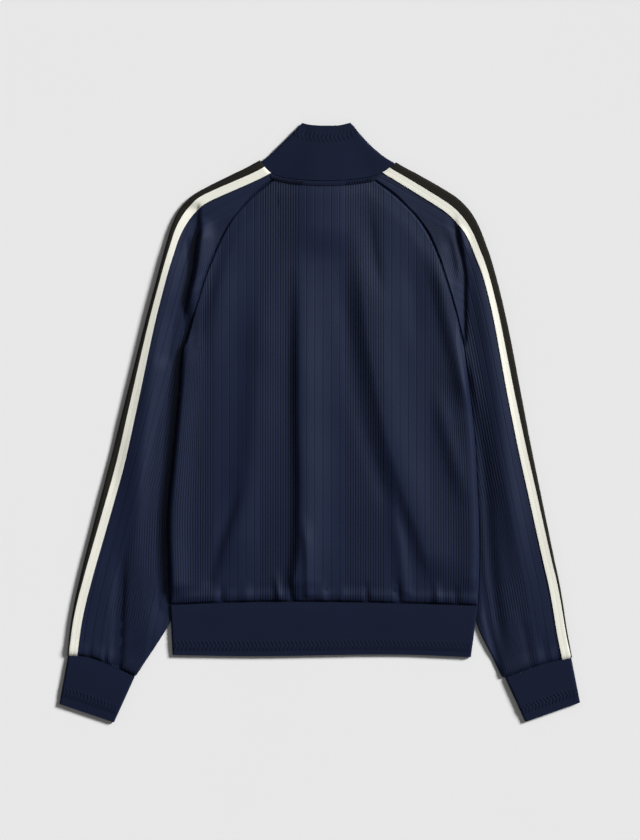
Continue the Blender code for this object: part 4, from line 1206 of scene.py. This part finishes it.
def binding_grid(x_first, x_last, columns, fractions, proud):
    x = np.linspace(x_first, x_last, columns)[None, :]
    y = np.interp(x, neck_back[:, 0], neck_back[:, 1]) - 0.55
    down = np.asarray(fractions)[:, None]
    y = y - PIPING_WIDTH * down
    arch = np.sqrt(np.maximum(1 - (2 * down - 1) ** 2, 0))
    z = LOFT + NECK_RISE * neck_bump(x, y) + rumple(x, y) + 0.15 + proud * arch
    return np.dstack([np.broadcast_to(x, y.shape), y, z])


turns = (1 - np.cos(np.linspace(0, math.pi, 13))) / 2
piping_grid = binding_grid(BODY[0].left - 10, BODY[0].right + 11, 130, turns, 1.3)
piping = shell("neck_binding", piping_grid, 0.5, navy_rib, row_step=2, col_step=3)
print("binding:", piping_grid.shape, len(piping.data.polygons))

# %% [markdown]
# ## The zip
# The zip runs up the centre front, on the side that the jacket lies on. Its two woven tapes are flat
# strips behind the fronts' edges. The teeth are one small nylon loop repeated several hundred times,
# so a Geometry Nodes tree places it at an even pitch along two lines, one for each side.

# %% Zip tapes
ZIP_TAPE_WALL = 0.6
ZIP_GAP = 0.4
CHAIN_DROP = 0.6
SLIDER_Y = 303.0


def zip_height(y):
    """Under face of the zip's tape: on top of the thin front, or of the doubled bands."""
    bands = smooth((y - 215) / 20) + smooth((-225 - y) / 18)
    return ZIP_GAP + 1.2 + 1.2 * bands + SLIDER_LIFT * neck_bump(CENTRE, y)


def chain_middle(y):
    return zip_height(y) + ZIP_TAPE_WALL / 2 - CHAIN_DROP


def zip_tape(side):
    edges = sorted((CENTRE + side * 3.3, CENTRE + side * 14.5))
    y = np.linspace(317.5, -314.0, 150)[:, None]
    x = np.linspace(*edges, 9)[None, :]
    z = zip_height(y) + ZIP_TAPE_WALL + 0 * x
    grid = np.dstack([x + 0 * y, y + 0 * x, z])
    return shell(f"zip_cloth_{HAND[side]}", grid, ZIP_TAPE_WALL, zip_cloth, row_step=5, col_step=4)


zip_tapes = {side: zip_tape(side) for side in HAND}


# %% A tree that sets small parts along a line
def row_tree(name, build_part):
    """Parts at an even pitch along a line. The line's points hold "up", the way a part faces."""
    tree = bpy.data.node_groups.new(name, "GeometryNodeTree")
    socket(tree, "Geometry", "NodeSocketGeometry")
    for key in ("Pitch", "Length", "Width", "Height", "Slant"):
        socket(tree, key)
    socket(tree, "Material", "NodeSocketMaterial")
    socket(tree, "Geometry", "NodeSocketGeometry", "OUTPUT")
    given = tree.nodes.new("NodeGroupInput").outputs
    line = node(tree, "GeometryNodeMeshToCurve", {"Mesh": given["Geometry"]})
    even = node(tree, "GeometryNodeResampleCurve",
                {"Curve": line.outputs["Curve"], "Length": given["Pitch"]}, mode="LENGTH")
    up = node(tree, "GeometryNodeInputNamedAttribute", {"Name": "up"}, data_type="FLOAT_VECTOR")
    along = tree.nodes.new("GeometryNodeInputTangent").outputs["Tangent"]
    facing = node(tree, "FunctionNodeAxesToRotation",
                  {"Primary Axis": up.outputs["Attribute"], "Secondary Axis": along},
                  primary_axis="Z", secondary_axis="X")
    lean = node(tree, "FunctionNodeAxisAngleToRotation", {"Axis": (0, 0, 1), "Angle": given["Slant"]})
    turned = node(tree, "FunctionNodeRotateRotation",
                  {"Rotation": facing.outputs["Rotation"], "Rotate By": lean.outputs["Rotation"]},
                  rotation_space="LOCAL")
    size = node(tree, "ShaderNodeCombineXYZ",
                {"X": given["Length"], "Y": given["Width"], "Z": given["Height"]})
    placed = node(tree, "GeometryNodeInstanceOnPoints",
                  {"Points": even.outputs["Curve"], "Instance": build_part(tree),
                   "Rotation": turned.outputs["Rotation"], "Scale": size.outputs["Vector"]})
    real = node(tree, "GeometryNodeRealizeInstances", {"Geometry": placed.outputs["Instances"]})
    dressed = node(tree, "GeometryNodeSetMaterial",
                   {"Geometry": real.outputs["Geometry"], "Material": given["Material"]})
    smoothed = node(tree, "GeometryNodeSetShadeSmooth", {"Geometry": dressed.outputs["Geometry"]})
    end = tree.nodes.new("NodeGroupOutput")
    tree.links.new(smoothed.outputs["Geometry"], end.inputs["Geometry"])
    return tree


def thread_part(tree):
    """A stitch: a short bead of thread, 1 unit long, wide and high."""
    return node(tree, "GeometryNodeMeshUVSphere", {"Segments": 7, "Rings": 5, "Radius": 0.5}
                ).outputs["Mesh"]


def set_along(name, tree, lines, pitch, length, width, height, slant, material):
    """Runs a row tree on lines of (points, ups), in millimetres, and returns one piece."""
    points, ups, joins, count = [], [], [], 0
    for line, up in lines:
        points.append(line)
        ups.append(up)
        joins += [(count + k, count + k + 1) for k in range(len(line) - 1)]
        count += len(line)
    mesh = bpy.data.meshes.new(name)
    mesh.from_pydata((np.vstack(points) * MM).tolist(), joins, [])
    attribute = mesh.attributes.new("up", "FLOAT_VECTOR", "POINT")
    attribute.data.foreach_set("vector", np.ascontiguousarray(np.vstack(ups), np.float32).ravel())
    piece = bpy.data.objects.new(name, mesh)
    bpy.context.scene.collection.objects.link(piece)
    return grown(piece, tree, {"Pitch": pitch * MM, "Length": length * MM, "Width": width * MM,
                               "Height": height * MM, "Slant": math.radians(slant),
                               "Material": material})


stitch_tree = row_tree("stitches", thread_part)


# %% Zip teeth
def tooth_part(tree):
    """A tooth: a flat loop of nylon, 1 unit across."""
    ring = node(tree, "GeometryNodeCurvePrimitiveCircle", {"Resolution": 9, "Radius": 0.5})
    wire = node(tree, "GeometryNodeCurvePrimitiveCircle", {"Resolution": 5, "Radius": 0.16})
    made = node(tree, "GeometryNodeCurveToMesh",
                {"Curve": ring.outputs["Curve"], "Profile Curve": wire.outputs["Curve"]})
    return made.outputs["Mesh"]


tooth_tree = row_tree("zip_teeth", tooth_part)
chain_y = np.linspace(SLIDER_Y - 7.5, -303.5, 200)
chain_lines = []
for side in HAND:
    line = np.column_stack([np.full(200, CENTRE + side * 1.1), chain_y - side * 0.4,
                            chain_middle(chain_y)])
    chain_lines.append((line, np.tile([0.0, 0.0, 1.0], (200, 1))))
teeth = set_along("zip_teeth", tooth_tree, chain_lines, 1.6, 1.1, 3.6, 1.6, 0, zip_nylon)
print("zip teeth:", len(teeth.data.polygons), "faces")

# %% [markdown]
# ## Slider, pull tab and stops
# The slider is two plates with a post between them and a bridge that holds the tab. Cast zinc parts
# have soft edges, so each outline is extruded and then bevelled. The tab is a flat ring with a long
# tail, and it turns on the bridge, so it is a piece of its own on its own body.

# %% Cast metal parts
def outline_plate(name, outline, hole, low, high, bevel, finish_used):
    """A plate between two heights with an outline and, if given, a hole of as many points."""
    count = len(outline)
    loops = [outline] + ([hole] if hole is not None else [])
    points = [(*p, z) for z in (low, high) for loop in loops for p in loop]
    n = count * len(loops)
    faces = []
    for k in range(count):
        m = (k + 1) % count
        faces.append([k, m, n + m, n + k])
        if hole is not None:
            faces.append([count + m, count + k, n + count + k, n + count + m])
            faces.append([k, count + k, count + m, m])
            faces.append([n + m, n + count + m, n + count + k, n + k])
    if hole is None:
        faces += [list(range(count))[::-1], list(range(n, n + count))]
    piece = mesh_piece(name, np.array(points) * MM, faces, finish_used, sharp=40)
    soften = piece.modifiers.new("soft edges", "BEVEL")
    soften.width, soften.segments, soften.limit_method = bevel * MM, 2, "ANGLE"
    return piece


def rounded(width, long, y0, corners, steps=6):
    """Outline of a round-cornered plate, anticlockwise from its lower right corner."""
    points = []
    for (sx, sy), radius, turn in zip(((1, -1), (1, 1), (-1, 1), (-1, -1)), corners, (-90, 0, 90, 180)):
        for angle in np.radians(np.linspace(turn, turn + 90, steps)):
            points.append((sx * (width / 2 - radius) + radius * math.cos(angle),
                           y0 + sy * (long / 2 - radius) + radius * math.sin(angle)))
    return points


middle_z = chain_middle(SLIDER_Y)
face = middle_z - 1.4 - 1.0
plates = []
for name, low in (("slider_face", face), ("slider_back", middle_z + 1.4)):
    outline = [(x + CENTRE, y) for x, y in rounded(9.0, 11.0, SLIDER_Y, (1.4, 2.6, 2.6, 1.4))]
    plates.append(outline_plate(name, outline, None, low, low + 1.0, 0.25, zip_metal))
post = [(x + CENTRE, y) for x, y in rounded(2.4, 4.3, SLIDER_Y + 2.55, (0.5, 1.1, 1.1, 0.5))]
plates.append(outline_plate("slider_post", post, None, middle_z - 1.5, middle_z + 1.5, 0.1, zip_metal))
for name, dy in (("bridge_foot_low", -3.05), ("bridge_foot_high", 3.05)):
    foot = [(x + CENTRE, y) for x, y in rounded(2.0, 0.9, SLIDER_Y + dy, (0.3,) * 4)]
    plates.append(outline_plate(name, foot, None, face - 2.4, face + 0.2, 0.12, zip_metal))
bar = [(x + CENTRE, y) for x, y in rounded(2.0, 7.0, SLIDER_Y, (0.7,) * 4)]
plates.append(outline_plate("slider_bridge", bar, None, face - 2.9, face - 2.0, 0.2, zip_metal))
box_low = -314.0
box_z = chain_middle(box_low)
box_outline = [(x + CENTRE, y) for x, y in rounded(6.0, 9.0, box_low + 4.5, (0.8,) * 4)]
zip_box = outline_plate("zip_foot_box", box_outline, None, box_z - 1.2, box_z + 1.0, 0.3, zip_metal)

# %% Pull tab
axis_z = face - (2.9 - 0.9) / 2
tilt = math.asin((axis_z - 0.6 - 0.35) / 28.0)
outer = rounded(7.0, 28.7, -13.65, (2.6, 1.2, 1.2, 2.6))
inner = rounded(3.2, 5.8, -3.6, (0.9, 0.6, 0.6, 0.9))
tab = outline_plate("tab_plate", outer, inner, -0.6, 0.6, 0.22, zip_metal)
for point in tab.data.vertices:
    x, y, z = point.co
    turned_y = y * math.cos(tilt) - z * math.sin(tilt)
    turned_z = y * math.sin(tilt) + z * math.cos(tilt)
    point.co = (x + CENTRE * MM, turned_y + SLIDER_Y * MM, turned_z + axis_z * MM)
print("slider parts:", len(plates), "tab tilt", round(math.degrees(tilt), 2), "degrees")

# %% [markdown]
# ## Stitching
# Thread is what holds the pieces together, so it shows along every band: a double row of slanted
# stitches in the quilted zigzag, short bars across the neck binding, and running stitches along both
# edges of each tape. All of them are the same tree with another pitch, size and slant.

# %% Stitch lines on a grid
def on_grid(grid, row, first, last, lift=0.08, count=400):
    """A line along a fractional row of a grid, between two fractions of its columns."""
    face = normals(grid)
    columns = np.arange(grid.shape[1])
    row = np.clip(np.broadcast_to(row, len(columns)), 0, len(grid) - 1.001)
    low = row.astype(int)
    t = (row - low)[:, None]
    line = grid[low, columns] * (1 - t) + grid[low + 1, columns] * t
    up = face[low, columns] * (1 - t) + face[low + 1, columns] * t
    at = np.linspace(first, last, count) * (len(line) - 1)
    whole = np.arange(len(line))
    line = np.column_stack([np.interp(at, whole, line[:, k]) for k in range(3)])
    up = np.column_stack([np.interp(at, whole, up[:, k]) for k in range(3)])
    return line + up * lift, up


def zigzag(name, grid, middle, band_length, quilting, length, width, lean, first=0.03, last=0.97):
    """Two rows of slanted stitches, above and below the middle of a zigzag."""
    per_row = (len(grid) - 1) / band_length
    rows = []
    for sign in (-1, 1):
        line = on_grid(grid, (middle + sign * quilting["height"] / 4) * per_row, first, last)
        rows.append(set_along(f"{name}_{'upper' if sign < 0 else 'lower'}", stitch_tree, [line],
                              quilting["pitch"], length, width, width, sign * lean, navy_thread_painted_shade))
    return rows


stitches = zigzag("hem_zigzag", hem_grid[:, over], HEM_LONG - HEM_ZIGZAG_AT, HEM_LONG, HEM_ZIGZAG,
                  7.6, 0.55, 58, 0.012, 0.988)
for side, (piece, grid, count) in cuffs.items():
    stitches += zigzag(f"cuff_zigzag_{HAND[side]}", grid[:, :count], CUFF_LONG - CUFF_ZIGZAG_AT,
                       CUFF_LONG, CUFF_ZIGZAG, 7.0, 0.5, 60)
collar_top = collar_grid[:, collar_over]
stitches += zigzag("collar_zigzag", collar_top, COLLAR_ZIGZAG_AT + sag[len(sag) // 4], COLLAR_LONG,
                   COLLAR_ZIGZAG, 7.6, 0.5, -60)
print("zigzag pieces:", len(stitches))

# %% Bars across the neck binding
bars = []
for first, last in ((0.04, 0.30), (0.72, 0.94)):
    line = on_grid(piping_grid, 6.0, first, last, 0.6)
    bars.append(line)
stitches.append(set_along("binding_bars", stitch_tree, bars, 3.3, 6.0, 1.3, 1.2, 75, navy_thread_painted_shade))

# %% Running stitches along the tapes
for side, hand in HAND.items():
    v = sleeve_rows(150)
    black = sleeve_sections(side, False, v).black
    lines = []
    for inset in (1.1, TAPE_WIDTH - 1.1):
        arc = shown(black) + inset
        grid, _ = tape_grid(side, arc - 0.5, arc + 0.5, (0, 0.5, 1), TAPE_STAND + 0.03, v)
        face_up = normals(grid)
        lines.append((grid[:, 1], face_up[:, 1]))
    stitches.append(set_along(f"tape_stitch_{hand}", stitch_tree, lines, 3.0, 2.2, 0.36, 0.22, 0,
                              cream_thread))
print("stitch pieces:", {p.name: len(p.data.polygons) for p in stitches})

# %% [markdown]
# ## What moves with what, and how each cloth was cut
# Everything but the pull tab belongs to the jacket's body. Each cloth piece stands for the plain
# solid of the imported model, and says how large it was cut.

# %% Riding and replacing
def dress(piece, slot, *nodes, body="jacket"):
    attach(piece, body)
    if nodes:
        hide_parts(*nodes)


dress(back, "navy_knit", "back_panel")
dress(collar, "navy_rib", "collar")
dress(hem, "navy_rib", "hem_band")
dress(piping, "navy_rib", "neck_piping")
for side, hand in HAND.items():
    dress(fronts[side], "navy_knit", f"front_{hand}")
    dress(sleeves[side, True], "navy_knit", f"sleeve_back_{hand}")
    dress(sleeves[side, False], "navy_knit", f"sleeve_front_{hand}")
    dress(tapes["cream", side], "cream_tape", f"tape_cream_{hand}")
    dress(tapes["black", side], "black_tape", f"tape_black_{hand}")
    dress(cuffs[side][0], "navy_rib", f"cuff_{hand}")
    dress(zip_tapes[side], "zip_navy", f"zip_tape_{hand}")
dress(teeth, "zip_navy", "zip_chain")
dress(zip_box, "zip_metal", "zip_box")
for plate in plates:
    dress(plate, "zip_metal", *(["zip_slider"] if plate.name == "slider_face" else []))
dress(tab, "zip_metal", "pull_tab", body="pull_tab")
for piece in stitches:
    dress(piece, "cream_tape" if piece.name.startswith("tape") else "navy_rib")

# %% Cut sizes of the cloth
Cut = namedtuple("Cut", "piece width length area rests_on")
CUTS = [
    Cut(back, 0.420, 0.580, 0.208, ["front_left", "front_right"]),
    Cut(fronts[-1], 0.210, 0.560, 0.095, ["floor"]),
    Cut(fronts[1], 0.210, 0.560, 0.093, ["floor"]),
    Cut(collar, 0.370, 0.078, 0.0266, ["back_panel"]),
    Cut(hem, 0.820, 0.070, 0.0565, ["floor"]),
    Cut(piping, 0.120, 0.010, 0.0011, ["back_panel"]),
]
for side, hand in HAND.items():
    CUTS += [
        Cut(sleeves[side, True], 0.100, 0.780, 0.057, [f"sleeve_front_{hand}"]),
        Cut(sleeves[side, False], 0.100, 0.780, 0.058, ["floor"]),
        Cut(tapes["cream", side], 0.0117, 0.760, None, [f"sleeve_back_{hand}"]),
        Cut(tapes["black", side], 0.0132, 0.780, None, [f"sleeve_back_{hand}"]),
        Cut(cuffs[side][0], 0.174, 0.067, 0.0115, ["floor"]),
        Cut(zip_tapes[side], 0.0112, 0.632, None, [f"front_{hand}"]),
    ]
print("sheets:", len(CUTS))

# %% [markdown]
# ## Floor, light and camera
# The jacket lies on a plain pale floor and is seen from straight above. One large soft light stands
# low to the upper right, so ribs and folds throw short shadows to the lower left, and an even pale
# sky fills them. A sun lamp with a wide disc gives soft shadows that are the same everywhere. A
# round softbox adds only the satin shine of the knit.

# %% Floor
floor_finish, tree, shader = finish("pale_floor")
place = node(tree, "ShaderNodeTexCoord").outputs["Object"]
spots = node(tree, "ShaderNodeTexNoise", {"Vector": place, "Scale": 3.0})
tree.links.new(mixed(tree, spots.outputs["Fac"], (0.785, 0.785, 0.785), (0.80, 0.80, 0.80)),
               shader.inputs["Base Color"])
shader.inputs["Roughness"].default_value = 1.0
shader.inputs["Specular IOR Level"].default_value = 0.0
half = 3000.0
floor = mesh_piece("floor", np.array([(-half, -half, -0.2), (half, -half, -0.2), (half, half, -0.2),
                                      (-half, half, -0.2)]) * MM, [[0, 1, 2, 3]], floor_finish)

# %% Light
to_light = Vector((0.70, 0.40, 0.50)).normalized()
key = bpy.data.lights.new("key", "SUN")
key.energy = 5.10
key.angle = math.radians(16)
key_lamp = bpy.data.objects.new("key", key)
key_lamp.rotation_euler = to_light.to_track_quat("Z", "Y").to_euler()
bpy.context.scene.collection.objects.link(key_lamp)
softbox = bpy.data.lights.new("softbox", "AREA")
softbox.shape, softbox.size, softbox.energy = "DISK", 0.9, 34
softbox_lamp = bpy.data.objects.new("softbox", softbox)
softbox_lamp.location = (0.75, 0.85, 1.6)
softbox_lamp.rotation_euler = Vector((0.70, 0.80, 1.6)).to_track_quat("Z", "Y").to_euler()
softbox_lamp.visible_diffuse = False      # it only lends the cloth its satin shine
softbox_lamp.visible_camera = False
bpy.context.scene.collection.objects.link(softbox_lamp)
sky = bpy.data.worlds.new("soft_sky")
sky.use_nodes = True
background = sky.node_tree.nodes["Background"]
background.inputs["Color"].default_value = (1, 1, 1, 1)
background.inputs["Strength"].default_value = 0.16
bpy.context.scene.world = sky
bpy.context.scene.view_settings.view_transform = "Standard"

# %% Camera
camera = bpy.data.cameras.new("camera")
camera.sensor_width = 36.0
VIEW_HEIGHT, DISTANCE = 1.134, 4.0
camera.lens = camera.sensor_width * (DISTANCE - 0.006) / VIEW_HEIGHT
camera_object = bpy.data.objects.new("camera", camera)
camera_object.location = (0.0007, 0.0034, DISTANCE)
bpy.context.scene.collection.objects.link(camera_object)
bpy.context.scene.camera = camera_object
print("lens", round(camera.lens, 1), "mm")
